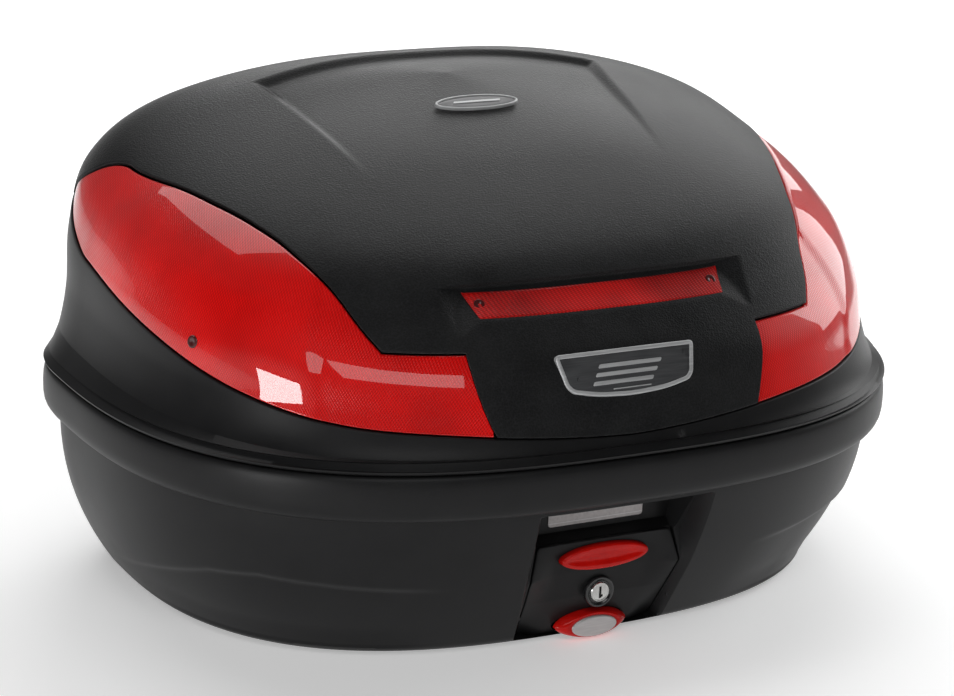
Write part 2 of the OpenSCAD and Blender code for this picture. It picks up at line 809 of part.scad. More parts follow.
// Round peg with a flat head, its head on the outside
module peg(grow) {
    translate([0, 0, -12]) cylinder(r = 3 + grow, h = 12.2, $fn = 32);
    translate([0, 0, -eps]) cylinder(r = 4 + grow, h = 0.8, $fn = 32);
}

module reflector(outer, inner) {
    difference() {
        side_patch(outer, inner);
        on_skin(peg_at[0], peg_at[1]) translate([0, 0, -20]) cylinder(r = 3.1, h = 30, $fn = 32);
    }
}

module reflector_right() {
    color("#cc1416") reflector(0, lens_t);
}

module reflector_left() {
    color("#cc1416") mirror([1, 0, 0]) reflector(0, lens_t);
}

module reflector_backing_right() {
    color("#8f0d10") reflector(lens_t + 0.6, rebate - 0.9);
}

module reflector_backing_left() {
    color("#8f0d10") mirror([1, 0, 0]) reflector(lens_t + 0.6, rebate - 0.9);
}

module reflector_pegs() {
    color("#2c0a0b") both_sides() on_skin(peg_at[0], peg_at[1]) peg(0);
}

module strip_reflector() {
    color("#c21518")
    difference() {
        strip_window(0, 0.4, 2.2);
        at_strip_screws() screw(13, 0.1);
    }
}

module strip_backing() {
    color("#7f0c0f")
    difference() {
        strip_window(0, 2.5, rebate - 0.8);
        at_strip_screws() screw(13, 0.1);
    }
}

module strip_screws() {
    color("#5a1012") at_strip_screws() screw(12);
}

module badge_frame() {
    color("#b4b6b8")
    on_middle(badge_s)
    translate([0, 0, -2.2])
    difference() {
        linear_extrude(3.2) badge_outline(0);
        translate([0, 0, 1]) linear_extrude(4) offset(delta = -1.6) badge_outline(0);
    }
}

module badge_inset() {
    color("#4c4e51")
    on_middle(badge_s) translate([0, 0, -1.15]) linear_extrude(1.6) offset(delta = -1.75) badge_outline(0);
}

module oval_badge_rim() {
    color("#c9cbcc")
    on_middle(crest_s)
    translate([0, 0, -1.4])
    difference() {
        linear_extrude(2.4) crest_outline(0);
        translate([0, 0, 0.8]) linear_extrude(3) offset(delta = -1.2) crest_outline(0);
    }
}

module oval_badge_inset() {
    color("#3a3b3d")
    on_middle(crest_s) translate([0, 0, -0.55]) linear_extrude(1.2) offset(delta = -1.3) crest_outline(0);
}

module striker() {
    color("#8f9092")
    difference() {
        union() {
            box([-striker_x, striker_x], striker_y, [127.6, 154]);
            box([-striker_x, striker_x], [-209, striker_y[1]], [151, 154]);
        }
        box([-9, 9], [-190, -180], [130, 139.5]);
        at_striker_screws() screw(8, 0.1);
    }
}

module striker_screws() {
    color("#3a3a3c") at_striker_screws() screw(7);
}

bottom_shell();
rim_seal();
lock_panel();
name_label();
lock_housing();
lock_barrel();
mechanism_cover();
latch_guard();
hinge_base_left();
hinge_base_right();
hinge_pins();
base_screws();
cover_screws();
lid_latch_pin();
plate_latch_pin();
button_springs();
release_springs();
lid_shell();
lid_cover();
reflector_left();
reflector_right();
reflector_backing_left();
reflector_backing_right();
reflector_pegs();
strip_reflector();
strip_backing();
strip_screws();
badge_frame();
badge_inset();
oval_badge_rim();
oval_badge_inset();
hinge_leaf_left();
hinge_leaf_right();
leaf_screws();
striker();
striker_screws();
lid_button();
button_plunger();
lid_latch();
lock_plug();
lock_cam();
release_lever();
release_badge();
release_yoke();
plate_latch();
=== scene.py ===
import json
import math

import bpy
import bmesh
import numpy as np
from mathutils import Matrix, Vector


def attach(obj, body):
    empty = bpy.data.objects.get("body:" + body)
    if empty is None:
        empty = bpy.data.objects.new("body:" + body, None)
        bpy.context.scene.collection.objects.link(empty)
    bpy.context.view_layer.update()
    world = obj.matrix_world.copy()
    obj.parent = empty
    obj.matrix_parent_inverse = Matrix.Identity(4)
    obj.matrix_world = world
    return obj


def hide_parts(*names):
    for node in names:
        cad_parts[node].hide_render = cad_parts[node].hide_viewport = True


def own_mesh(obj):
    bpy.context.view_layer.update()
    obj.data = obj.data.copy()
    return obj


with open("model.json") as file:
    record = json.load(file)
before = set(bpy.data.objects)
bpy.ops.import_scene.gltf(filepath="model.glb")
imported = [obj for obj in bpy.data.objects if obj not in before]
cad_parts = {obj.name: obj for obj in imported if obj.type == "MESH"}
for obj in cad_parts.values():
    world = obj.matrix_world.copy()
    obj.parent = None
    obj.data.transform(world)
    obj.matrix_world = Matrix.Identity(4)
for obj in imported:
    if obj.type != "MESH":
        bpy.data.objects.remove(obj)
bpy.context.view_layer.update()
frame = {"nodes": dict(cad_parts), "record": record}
MM = 0.001
np.seterr(all="ignore")     # a zero raised to a share under one, at the outline's corners, is harmless

# ---------------------------------------------------------------- shape of the case, in millimetres
# Angles p run from 0 at the front to 180 at the back; s runs from 0 at the lid's rim to 1 at its crown.
HALF_W, FRONT_D, BACK_D, MID_Y = 295.0, 280.0, 152.0, 60.0
FRONT_N, BACK_N, FRONT_TOP_N, BACK_TOP_N = 2.7, 2.55, 2.75, 3.0
SEAM_Z, LID_H, CROWN_Y, LID_SLOPE = 146.0, 195.0, 76.0, 0.25
BAND_Z, BAND_OUT, TOE_Z = 113.0, 11.0, 8.0
WALL, FLANGE, REBATE, COVER_T, LENS_T = 3.4, 10.0, 4.8, 2.6, 2.4
TAB_IN, TAB_UP, TAB_OUT, LENS_FROM, LENS_TO, TAB_S = 13.5, 17.5, 30.5, 32.0, 112.0, 0.475
GAP_S = 0.6 / 230           # half the gap between cover, lens and shell, as a share of the lid's profile
BUTTON_Z, KEY_Z, LEVER_Z = 64, 36.5, 11
SCOOP_DEPTH, SCOOP_TOP, SCOOP_LOW, SCOOP_EDGE = 5.0, 0.642, 0.546, 0.004
HOLLOW_DEPTH = 4.2
LID_RISE = [0, 0.1, 0.25, 0.45, 0.65, 0.82, 0.94, 1]
LID_FRONT = [1, 0.97, 0.945, 0.905, 0.8, 0.68, 0.38, 0]
LID_SIDE = [1, 0.96, 0.935, 0.925, 0.88, 0.74, 0.42, 0]
LID_BACK = [1, 0.998, 0.995, 0.985, 0.94, 0.7, 0.42, 0]
SKIN_LOW = [0.15, 0.213, 0.247, 0.303, 0.366, 0.415, 0.473, 0.5, 0.49, 0.46, 0.45]
LENS_UP = [0.495, 0.615, 0.675, 0.698, 0.7, 0.685, 0.64, 0.567, 0.5]


def curve(v, s, crown=False):
    v = np.asarray(v, float)
    n = len(v) - 1
    x = np.clip(np.asarray(s, float), 0, 1) * n
    i = np.minimum(np.floor(x).astype(int), n - 1)
    f = x - i
    w = np.concatenate([[2 * v[0] - v[1]], v, [v[-1] if crown else 2 * v[-1] - v[-2]]])
    a, b, c, d = w[i], w[i + 1], w[i + 2], w[i + 3]
    return 0.5 * (2 * b + (c - a) * f + (2 * a - 5 * b + 4 * c - d) * f * f
                  + (3 * b - a - 3 * c + d) * f ** 3)


def smooth(x):
    x = np.clip(x, 0, 1)
    return x * x * (3 - 2 * x)


def plan(p, inset=0.0, nf=FRONT_N, nb=BACK_N):
    r = np.radians(p)
    front = np.abs(p) < 90
    n = np.where(front, nf, nb)
    d = np.where(front, FRONT_D, BACK_D)
    s, c = np.sin(r), np.cos(r)
    return (np.sign(s) * np.abs(s) ** (2 / n) * (HALF_W - inset),
            -np.sign(c) * np.abs(c) ** (2 / n) * (d - inset))


def shares(p):
    c2 = np.cos(np.radians(p)) ** 2
    front = np.abs(p) < 90
    return np.where(front, c2, 0), np.where(front, 0, c2), 1 - c2


def lid_at(p, s, inset=0.0):
    p, s, inset = np.broadcast_arrays(np.asarray(p, float), np.asarray(s, float), np.asarray(inset, float))
    fs, bs, ss = shares(p)
    h = curve(LID_RISE, s, True)
    k = fs * curve(LID_FRONT, s) + ss * curve(LID_SIDE, s) + bs * curve(LID_BACK, s)
    qx, qy = plan(p, inset, FRONT_N + (FRONT_TOP_N - FRONT_N) * h, BACK_N + (BACK_TOP_N - BACK_N) * h)
    y0 = CROWN_Y - MID_Y
    y = y0 + (qy - y0) * k
    return np.stack([qx * k, y + MID_Y, SEAM_Z + (LID_H - inset) * h + LID_SLOPE * (y - y0) * h], -1)


def tub_inset(p, u):
    fs, bs, ss = shares(p)
    e = ss * 2.3 + (fs + bs) * 1.25
    return BAND_OUT + np.clip(1 - u, 0, 1) ** e * (ss * 31 + fs * 44 + bs * 30)


def low_line(p):
    return curve(SKIN_LOW, np.abs(p) / 180)


def cover_line(p):
    a = np.abs(p)
    low = low_line(p)
    sweep = curve(LENS_UP, (a - LENS_FROM) / (LENS_TO - LENS_FROM))
    out = np.where((a < TAB_IN) | (a > LENS_TO), low, sweep)
    edge = low_line(TAB_IN)
    climb = edge + (TAB_S - edge) * (a - TAB_IN) / (TAB_UP - TAB_IN)
    out = np.where((a >= TAB_IN) & (a < TAB_UP), climb, out)
    out = np.where((a >= TAB_UP) & (a < TAB_OUT), TAB_S, out)
    return np.where((a >= TAB_OUT) & (a < LENS_FROM),
                    TAB_S + (LENS_UP[0] - TAB_S) * (a - TAB_OUT) / (LENS_FROM - TAB_OUT), out)


def scoop(p, s):
    """Depth of the hollow round the red strip: full at its sharp top edge, none at its lower edge."""
    a = np.abs(p)
    top = SCOOP_TOP - 0.010 * (a / 23) ** 2
    low = SCOOP_LOW - 0.041 * np.clip((a - 15) / 3.4, 0, 1)
    side = 18.2 + (s - 0.505) / 0.127 * 4.9
    up = np.clip((s - low) / (top - SCOOP_EDGE - low), 0, 1)
    across = np.clip((side - a) / np.maximum(side - 16.9, 0.4), 0, 1)
    over = 1 - smooth((s - (top - SCOOP_EDGE)) / SCOOP_EDGE)
    return SCOOP_DEPTH * np.minimum(up, across) * over


def top_hollow(q):
    """Depth of the sunken panel on top of the lid at points q."""
    x, y = q[..., 0], q[..., 1]
    half = 117 + 0.14 * (y + 30)
    back = 104 + 16 * np.clip(1 - (x / 136) ** 2, 0, 1)
    side = smooth((half - np.abs(x)) / 5.5)
    rear = smooth((back - y) / 7)
    fade = smooth((y + 48) / 120)
    return HOLLOW_DEPTH * np.minimum(side, rear) * fade


def arc_angles(keys, step, inset=0.0):
    """Angles from keys[0] to keys[-1] spaced by step along the outline, each key kept."""
    p = np.linspace(keys[0], keys[-1], 20001)
    x, y = plan(p, inset)
    run = np.concatenate([[0], np.cumsum(np.hypot(np.diff(x), np.diff(y)))])
    out = [keys[0]]
    for a, b in zip(keys, keys[1:]):
        ra, rb = np.interp([a, b], p, run)
        n = max(1, int(math.ceil((rb - ra) / step)))
        out += list(np.interp(np.linspace(ra, rb, n + 1)[1:], run, p))
    return np.array(out)


def round_from_half(half):
    """Full turn of angles from a half list 0..180."""
    return np.concatenate([half, -half[-2:0:-1]])


# ---------------------------------------------------------------- meshes
def finish_mesh(name, bm, body, sharp=35.0):
    me = bpy.data.meshes.new(name)
    bm.to_mesh(me)
    bm.free()
    me.shade_smooth()
    me.set_sharp_from_angle(angle=math.radians(sharp))
    ob = bpy.data.objects.new(name, me)
    bpy.context.scene.collection.objects.link(ob)
    if body:
        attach(ob, body)
    return ob


def ring_faces(bm, verts, rows, cols, loop):
    """Faces between neighbouring rings of vertices; loop joins the last ring to the first as well."""
    for i in range(rows if loop else rows - 1):
        a, b = i * cols, (i + 1) % rows * cols
        for j in range(cols):
            k = (j + 1) % cols
            bm.faces.new((verts[a + j], verts[a + k], verts[b + k], verts[b + j]))


def rings_mesh(name, rings, body, sharp=35.0, loop=False):
    """Closed skin through rings (rows, cols, 3) in mm, its ends closed by fans or, with loop, joined."""
    P = np.asarray(rings, float) * MM
    rows, cols = P.shape[:2]
    bm = bmesh.new()
    verts = [bm.verts.new(v) for v in P.reshape(-1, 3)]
    ring_faces(bm, verts, rows, cols, loop)
    for r in () if loop else (0, rows - 1):
        mid = bm.verts.new(P[r].mean(0))
        ring = verts[r * cols:(r + 1) * cols]
        for j in range(cols):
            bm.faces.new((ring[j], ring[(j + 1) % cols], mid))
    bmesh.ops.recalc_face_normals(bm, faces=bm.faces)
    return finish_mesh(name, bm, body, sharp)


def oval(a, b, sharp=1.0, count=96):
    t = np.linspace(0, 2 * np.pi, count, endpoint=False)
    return np.stack([a * np.cos(t), b * np.sign(np.sin(t)) * np.abs(np.sin(t)) ** sharp], 1)


def oval_rings(z0, items, count=120):
    """Upright ovals about height z0, each from its half width, half height, sharpness and y."""
    return [[(x, y, z0 + z) for x, z in oval(a, b, sharp, count)] for a, b, sharp, y in items]


def boolean(ob, cutter, op="DIFFERENCE"):
    m = ob.modifiers.new("cut", "BOOLEAN")
    m.operation = op
    m.solver = "MANIFOLD"
    m.object = cutter
    dg = bpy.context.evaluated_depsgraph_get()
    dg.update()
    me = bpy.data.meshes.new_from_object(ob.evaluated_get(dg))
    ob.modifiers.remove(m)
    old = ob.data
    ob.data = me
    me.name = old.name
    bpy.data.meshes.remove(old)
    bpy.data.objects.remove(cutter)
    me.shade_smooth()
    me.set_sharp_from_angle(angle=math.radians(35))


def box_cutter(boxes):
    bm = bmesh.new()
    for x, y, z in boxes:
        size = Vector((x[1] - x[0], y[1] - y[0], z[1] - z[0])) * MM
        mid = Vector((x[0] + x[1], y[0] + y[1], z[0] + z[1])) * MM / 2
        bmesh.ops.create_cube(bm, size=1, matrix=Matrix.Translation(mid) @ Matrix.Diagonal((*size, 1)))
    return finish_mesh("cutter", bm, None)


def soft_box(bm, x, y, z, r, steps=6):
    """Box with its upright edges rounded, added to bm."""
    pts = []
    turns = ((x[1] - r, y[1] - r), (x[0] + r, y[1] - r), (x[0] + r, y[0] + r), (x[1] - r, y[0] + r))
    for i, (cx, cy) in enumerate(turns):
        for k in range(steps + 1):
            a = math.radians(90 * i + 90 * k / steps)
            pts.append((cx + r * math.cos(a), cy + r * math.sin(a)))
    low = [bm.verts.new((px * MM, py * MM, z[0] * MM)) for px, py in pts]
    top = [bm.verts.new((px * MM, py * MM, z[1] * MM)) for px, py in pts]
    n = len(pts)
    for i in range(n):
        bm.faces.new((low[i], low[(i + 1) % n], top[(i + 1) % n], top[i]))
    bm.faces.new(low[::-1])
    bm.faces.new(top)


# ---------------------------------------------------------------- materials
def nodes_of(name):
    m = bpy.data.materials.new(name)
    m.use_nodes = True
    return m, m.node_tree.nodes, m.node_tree.links, m.node_tree.nodes["Principled BSDF"]


def ramp(nodes, stops):
    r = nodes.new("ShaderNodeValToRGB")
    while len(r.color_ramp.elements) < len(stops):
        r.color_ramp.elements.new(0.5)
    for e, (at, c) in zip(r.color_ramp.elements, stops):
        e.position = at
        e.color = (*c, 1)
    return r


def math_node(nodes, links, operation, first, second, third=None):
    """Math node; each input is a number or the socket that feeds it."""
    k = nodes.new("ShaderNodeMath")
    k.operation = operation
    for at, value in enumerate((first, second, third)):
        if isinstance(value, (int, float)):
            k.inputs[at].default_value = value
        elif value is not None:
            links.new(value, k.inputs[at])
    return k.outputs[0]


def relief(nodes, links, shader, height, depth, strength=1.0):
    bump = nodes.new("ShaderNodeBump")
    bump.inputs["Strength"].default_value = strength
    bump.inputs["Distance"].default_value = depth * MM
    links.new(height, bump.inputs["Height"])
    links.new(bump.outputs["Normal"], shader.inputs["Normal"])


def noise(nodes, links, vector, scale, detail):
    tex = nodes.new("ShaderNodeTexNoise")
    tex.inputs["Scale"].default_value = scale
    tex.inputs["Detail"].default_value = detail
    links.new(vector, tex.inputs["Vector"])
    return tex.outputs["Fac"]


def uneven_roughness(nodes, links, shader, source, low, high):
    span = nodes.new("ShaderNodeMapRange")
    span.inputs["To Min"].default_value = low
    span.inputs["To Max"].default_value = high
    links.new(source, span.inputs["Value"])
    links.new(span.outputs["Result"], shader.inputs["Roughness"])


def grain(name, dark, light, rough, scale, depth, cells=False, spread=0.04, metallic=0.0, coat=0.0,
          sheen=0.0, specular=0.5, fine=3200.0):
    """Moulded or coated surface: mottled colour, uneven roughness and a grain in relief."""
    m, n, l, b = nodes_of(name)
    b.inputs["Metallic"].default_value = metallic
    b.inputs["Specular IOR Level"].default_value = specular
    if coat:
        b.inputs["Coat Weight"].default_value = coat
        b.inputs["Coat Roughness"].default_value = 0.08
    if sheen:
        b.inputs["Sheen Weight"].default_value = sheen
        b.inputs["Sheen Roughness"].default_value = 0.3
    where = n.new("ShaderNodeTexCoord").outputs["Object"]
    mottle = noise(n, l, where, 38, 6)
    if cells:
        tex = n.new("ShaderNodeTexVoronoi")
        tex.feature = "SMOOTH_F1"
        tex.inputs["Scale"].default_value = scale
        tex.inputs["Smoothness"].default_value = 0.6
        l.new(where, tex.inputs["Vector"])
        coarse = tex.outputs["Distance"]
    else:
        coarse = noise(n, l, where, scale, 3)
    grains = math_node(n, l, "MULTIPLY_ADD", noise(n, l, where, fine, 2), 0.35, coarse)
    patches = math_node(n, l, "MULTIPLY", mottle, 0.5)
    colour = ramp(n, [(0.3, dark), (0.72, light)])
    l.new(math_node(n, l, "MULTIPLY_ADD", grains, 0.45, patches), colour.inputs["Fac"])
    l.new(colour.outputs["Color"], b.inputs["Base Color"])
    uneven_roughness(n, l, b, mottle, rough - spread, rough + spread)
    relief(n, l, b, grains, depth)
    return m


def cell_lens(name, deep, bright, pitch, coat_rough, rough, turn=1.0):
    """Clear lens over small reflecting cells: the cells are under a smooth clear coat.
    The cells follow height and x + turn * y, so turn is 1 on the right side and -1 on the left."""
    m, n, l, b = nodes_of(name)
    for key, value in (("Coat Weight", 1.0), ("Coat Roughness", coat_rough), ("Coat IOR", 1.49),
                       ("Roughness", rough), ("Specular IOR Level", 0.2)):
        b.inputs[key].default_value = value
    where = n.new("ShaderNodeTexCoord").outputs["Object"]
    parts = n.new("ShaderNodeSeparateXYZ")
    l.new(where, parts.inputs[0])
    side = math_node(n, l, "MULTIPLY", parts.outputs["Y"], turn)
    along = math_node(n, l, "ADD", parts.outputs["X"], side)
    waves = []
    for source in (along, parts.outputs["Z"]):
        phase = math_node(n, l, "MULTIPLY", source, 2 * math.pi / (pitch * MM))
        waves.append(math_node(n, l, "SINE", phase, None))
    cells = math_node(n, l, "MULTIPLY", *waves)
    colour = ramp(n, [(0.22, deep), (0.78, bright)])
    l.new(math_node(n, l, "MULTIPLY_ADD", cells, 0.22, noise(n, l, where, 14, 3)), colour.inputs["Fac"])
    l.new(colour.outputs["Color"], b.inputs["Base Color"])
    relief(n, l, b, cells, 0.12, 0.8)
    return m


def metal(name, dark, light, rough, stretch, scale=900.0, depth=0.01, metallic=1.0):
    """Plated or brushed metal: fine streaks along one axis in colour, roughness and relief."""
    m, n, l, b = nodes_of(name)
    b.inputs["Metallic"].default_value = metallic
    squeeze = n.new("ShaderNodeMapping")
    squeeze.inputs["Scale"].default_value = stretch
    l.new(n.new("ShaderNodeTexCoord").outputs["Object"], squeeze.inputs["Vector"])
    streaks = noise(n, l, squeeze.outputs["Vector"], scale, 4)
    colour = ramp(n, [(0.3, dark), (0.7, light)])
    l.new(streaks, colour.inputs["Fac"])
    l.new(colour.outputs["Color"], b.inputs["Base Color"])
    uneven_roughness(n, l, b, streaks, max(0.02, rough - 0.07), rough + 0.07)
    relief(n, l, b, streaks, depth)
    return m


BLACK, RED_DEEP, RED_BRIGHT = (0.006, 0.006, 0.0065), (0.50, 0.0015, 0.0012), (0.95, 0.006, 0.005)
MAT = {
    "shell_black": grain("shell_black", (0.0065, 0.0065, 0.007), (0.012, 0.012, 0.0125), 0.42, 1300, 0.035,
                         specular=0.2),
    "lid_black": grain("lid_black", BLACK, (0.012, 0.012, 0.0125), 0.40, 1100, 0.04, specular=0.2),
    "cover_grain": grain("cover_grain", BLACK, (0.018, 0.0185, 0.019), 0.42, 820, 0.17, cells=True,
                         specular=0.13, sheen=0.22, fine=2400.0),
    "panel_black": grain("panel_black", BLACK, (0.011, 0.011, 0.0115), 0.38, 1500, 0.02, specular=0.18),
    "inner_black": grain("inner_black", (0.008, 0.008, 0.009), (0.014, 0.014, 0.015), 0.55, 900, 0.05,
                         specular=0.2),
    "hinge_black": grain("hinge_black", (0.009, 0.009, 0.0095), (0.018, 0.018, 0.019), 0.48, 700, 0.06,
                         specular=0.25),
    "screw_black": grain("screw_black", (0.03, 0.03, 0.032), (0.06, 0.06, 0.062), 0.35, 600, 0.02,
                         metallic=0.8),
    "barrel_black": grain("barrel_black", (0.007, 0.007, 0.008), (0.012, 0.012, 0.013), 0.24, 400, 0.01,
                          coat=0.4),
    "rubber": grain("rubber", (0.006, 0.006, 0.006), (0.012, 0.012, 0.012), 0.68, 800, 0.06, specular=0.2),
    "red_gloss": grain("red_gloss", (0.42, 0.003, 0.002), (0.58, 0.007, 0.004), 0.22, 260, 0.01,
                       spread=0.03, specular=0.22),
    "peg_dark": grain("peg_dark", (0.045, 0.004, 0.004), (0.08, 0.007, 0.007), 0.3, 500, 0.02, coat=0.5),
    "badge_dark": grain("badge_dark", (0.035, 0.035, 0.038), (0.06, 0.06, 0.064), 0.35, 500, 0.02),
    "badge_grey": metal("badge_grey", (0.06, 0.061, 0.064), (0.09, 0.092, 0.096), 0.42, (0.06, 1, 1),
                        metallic=0.3),
    "badge_silver": metal("badge_silver", (0.42, 0.425, 0.43), (0.56, 0.565, 0.57), 0.44, (0.06, 1, 1),
                          metallic=0.35),
    "silver_satin": metal("silver_satin", (0.46, 0.44, 0.44), (0.58, 0.56, 0.555), 0.34, (0.08, 1, 1), 700,
                          metallic=0.6),
    "plug_chrome": metal("plug_chrome", (0.5, 0.5, 0.49), (0.64, 0.64, 0.62), 0.26, (1, 1, 0.1), 900),
    "zinc": metal("zinc", (0.42, 0.42, 0.43), (0.58, 0.58, 0.6), 0.36, (0.3, 1, 1), 260, 0.03),
    "steel": metal("steel", (0.5, 0.5, 0.51), (0.64, 0.64, 0.66), 0.28, (0.1, 1, 1), 600),
    "red_lens": cell_lens("red_lens", RED_DEEP, RED_BRIGHT, 2.6, 0.03, 0.3),
    "strip_lens": cell_lens("strip_lens", (0.2, 0.002, 0.002), (0.85, 0.012, 0.010), 2.7, 0.05, 0.34),
    "red_prism": cell_lens("red_prism", (0.25, 0.001, 0.001), (0.5, 0.006, 0.005), 2.4, 0.2, 0.3),
}


def label_material():
    """Grey card with ruled lines."""
    line_step, line_width = 3.6 * MM, 0.28 * MM
    m, n, l, b = nodes_of("label")
    b.inputs["Roughness"].default_value = 0.3
    b.inputs["Coat Weight"].default_value = 0.5
    where = n.new("ShaderNodeTexCoord").outputs["Object"]
    paper = ramp(n, [(0.3, (0.40, 0.36, 0.36)), (0.7, (0.50, 0.46, 0.455))])
    l.new(noise(n, l, where, 500, 5), paper.inputs["Fac"])
    parts = n.new("ShaderNodeSeparateXYZ")
    l.new(where, parts.inputs[0])
    wave = math_node(n, l, "PINGPONG", parts.outputs["Z"], line_step)
    ink = n.new("ShaderNodeMix")
    ink.data_type = "RGBA"
    l.new(math_node(n, l, "LESS_THAN", wave, line_width), ink.inputs["Factor"])
    l.new(paper.outputs["Color"], ink.inputs["A"])
    ink.inputs["B"].default_value = (0.62, 0.6, 0.6, 1)
    l.new(ink.outputs["Result"], b.inputs["Base Color"])
    return m


MAT["label"] = label_material()
LENS_SIDE = {1: MAT["red_lens"],
             -1: cell_lens("red_lens_left", RED_DEEP, RED_BRIGHT, 2.6, 0.03, 0.3, -1.0)}


def dress(ob, slot):
    ob.data.materials.clear()
    ob.data.materials.append(MAT[slot])
    return ob


# ---------------------------------------------------------------- textured cover
HALF_COLS = arc_angles([0, TAB_IN, TAB_UP, TAB_OUT, LENS_FROM, LENS_TO, 180], 2.6)
COLS = round_from_half(HALF_COLS)


def step_mm(p, s):
    """Millimetres along the skin for a unit of s."""
    return np.linalg.norm(lid_at(p, s + 0.003) - lid_at(p, s - 0.003), axis=-1) / 0.006


def anchored_rows(p, start, counts):
    """Profile shares from start up to the crown, with rows gathered at the scoop's edges."""
    a = np.abs(p)
    drop = 0.010 * (np.minimum(a, 30.5) / 23) ** 2
    marks = [np.full_like(p, 0.50), 0.546 + 0 * p, 0.636 - drop, 0.6385 - drop, 0.643 - drop, 0.665 + 0 * p]
    base = np.where(a > TAB_OUT, start, TAB_S)
    marks = [np.where(a > TAB_OUT, base + (1 - base) * (k - TAB_S) / (1 - TAB_S), k) for k in marks]
    marks = [start] + marks + [np.full_like(p, 0.9995)]
    rows = []
    for lo, hi, n in zip(marks, marks[1:], counts):
        rows += [lo + (hi - lo) * i / n for i in range(n)]
    return rows + [marks[-1]]


def skin_point(p, s, inset):
    base = lid_at(p, s, 0)
    return lid_at(p, s, inset + scoop(p, s) + top_hollow(base))


def cover_rows():
    p = COLS
    line = cover_line(p) + GAP_S
    per = step_mm(p, line)
    inner = anchored_rows(p, line + 0.5 / per, (4, 2, 4, 2, 2, 2, 14))
    rows = [skin_point(p, s, COVER_T) for s in inner[::-1]]
    rounding = [(0.0, 2.9), (0.0, 1.1), (0.12, 0.62), (0.4, 0.25), (0.8, 0.06)]
    rows += [skin_point(p, line + d / per, inset) for d, inset in rounding]
    outer = anchored_rows(p, line + 1.4 / per, (30, 8, 22, 3, 4, 6, 84))
    return rows + [skin_point(p, s, 0) for s in outer]


cover = dress(rings_mesh("cover_skin", cover_rows(), "lid", 40), "cover_grain")
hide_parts("lid_cover")


# ---------------------------------------------------------------- lid shell
def hull_of(points):
    """Convex solid round points in mm."""
    bm = bmesh.new()
    for q in points:
        bm.verts.new(Vector(q) * MM)
    bmesh.ops.convex_hull(bm, input=bm.verts)
    bmesh.ops.recalc_face_normals(bm, faces=bm.faces)
    return finish_mesh("hull", bm, None)


def corners(x, y, z):
    return [(a, b, c) for a in x for b in y for c in z]


def hinge_pad(side, z0, z1):
    """Flat pad on the rear wall that a hinge half is screwed to."""
    x = (side * 84, side * 136)
    return hull_of(corners(x, (199, 209.6), (z0, z1)) + corners(x, (196, 203), (z0 - 6, z1 + 6)))


def flat_row(p, z, inset):
    x, y = plan(p, inset)
    return np.stack([x, y + MID_Y, np.full_like(x, z)], -1)


def notch(q):
    """Small slanted nick on the lid's front edge."""
    x, z = q[:, 0], q[:, 2]
    across = np.clip(1 - np.abs(x - 33 - (z - 156) * 0.12) / 1.8, 0, 1)
    mask = (q[:, 1] < 0) * across * smooth((z - 150.5) / 1.5)
    q = q.copy()
    q[:, 1] += 1.3 * mask * smooth((163 - z) / 3)
    return q


def lid_rows():
    p = COLS
    low = low_line(p)
    rows = [lid_at(p, s, REBATE + WALL) for s in np.linspace(0.98, 0.62, 9)]
    mixes = [low + (0.62 - low) * f for f in (0.8, 0.5, 0.25, 0.1, 0.0)]
    rows += [lid_at(p, s, REBATE + WALL) for s in mixes]
    rows += [lid_at(p, low - 0.03, WALL), lid_at(p, low * 0.75, WALL), lid_at(p, low * 0.5, WALL)]
    rows += [flat_row(p, 154.5, WALL + 1), flat_row(p, 150.5, FLANGE), flat_row(p, 147.0, FLANGE),
             flat_row(p, 146.5, FLANGE - 0.5)]
    for z, inset in ((146.5, 3.6), (146.6, 2.7), (146.95, 1.9), (147.5, 1.25), (148.3, 0.7), (149.3, 0.33)):
        rows.append(flat_row(p, z, inset))
    for f in np.linspace(0.16, 0.975, 26):
        rows.append(notch(lid_at(p, (low - 0.004) * f)))
    per = step_mm(p, low)
    edge = low - 0.004
    for d, inset in ((0.9, 0.0), (0.45, 0.12), (0.15, 0.4), (0.0, 0.8), (0.0, 2.4), (0.0, REBATE)):
        rows.append(lid_at(p, edge - d / per, inset))
    for f in np.linspace(0.03, 1, 30):
        s = low + (0.985 - low) * f
        rows.append(lid_at(p, s, REBATE + 0.05 + scoop(p, s) + top_hollow(lid_at(p, s, 0))))
    return rows


lid = rings_mesh("lid_shell_moulded", lid_rows(), "lid", 40)
for side in (-1, 1):
    boolean(lid, hinge_pad(side, 154.5, 178), "UNION")
HINGE_ROOM = [((side * 110 - 27, side * 110 + 27), (208, 230), (139, 154)) for side in (-1, 1)]
boolean(lid, box_cutter(HINGE_ROOM))
dress(lid, "lid_black")
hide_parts("lid_shell")

ribs = bmesh.new()
for y in (0, 70, 140):
    z = 285 + 0.2 * (y - 60)
    xs = np.linspace(-150, 150, 41)
    low = [ribs.verts.new(Vector((x, y + w, z + 10 - 8 * (x / 150) ** 2)) * MM)
           for w in (-1.6, 1.6) for x in xs]
    top = [ribs.verts.new(Vector((x, y + w, z + 33 - 14 * (x / 150) ** 4)) * MM)
           for w in (-2.2, 2.2) for x in xs]
    n = len(xs)
    for i in range(n - 1):
        ribs.faces.new((low[i], low[i + 1], top[i + 1], top[i]))
        ribs.faces.new((low[n + i + 1], low[n + i], top[n + i], top[n + i + 1]))
        ribs.faces.new((low[i + 1], low[i], low[n + i], low[n + i + 1]))
        ribs.faces.new((top[i], top[i + 1], top[n + i + 1], top[n + i]))
    for i in (0, n - 1):
        ribs.faces.new((low[i], top[i], top[n + i], low[n + i]))
bmesh.ops.recalc_face_normals(ribs, faces=ribs.faces)
ribs = dress(finish_mesh("lid_ribs", ribs, "lid"), "lid_black")

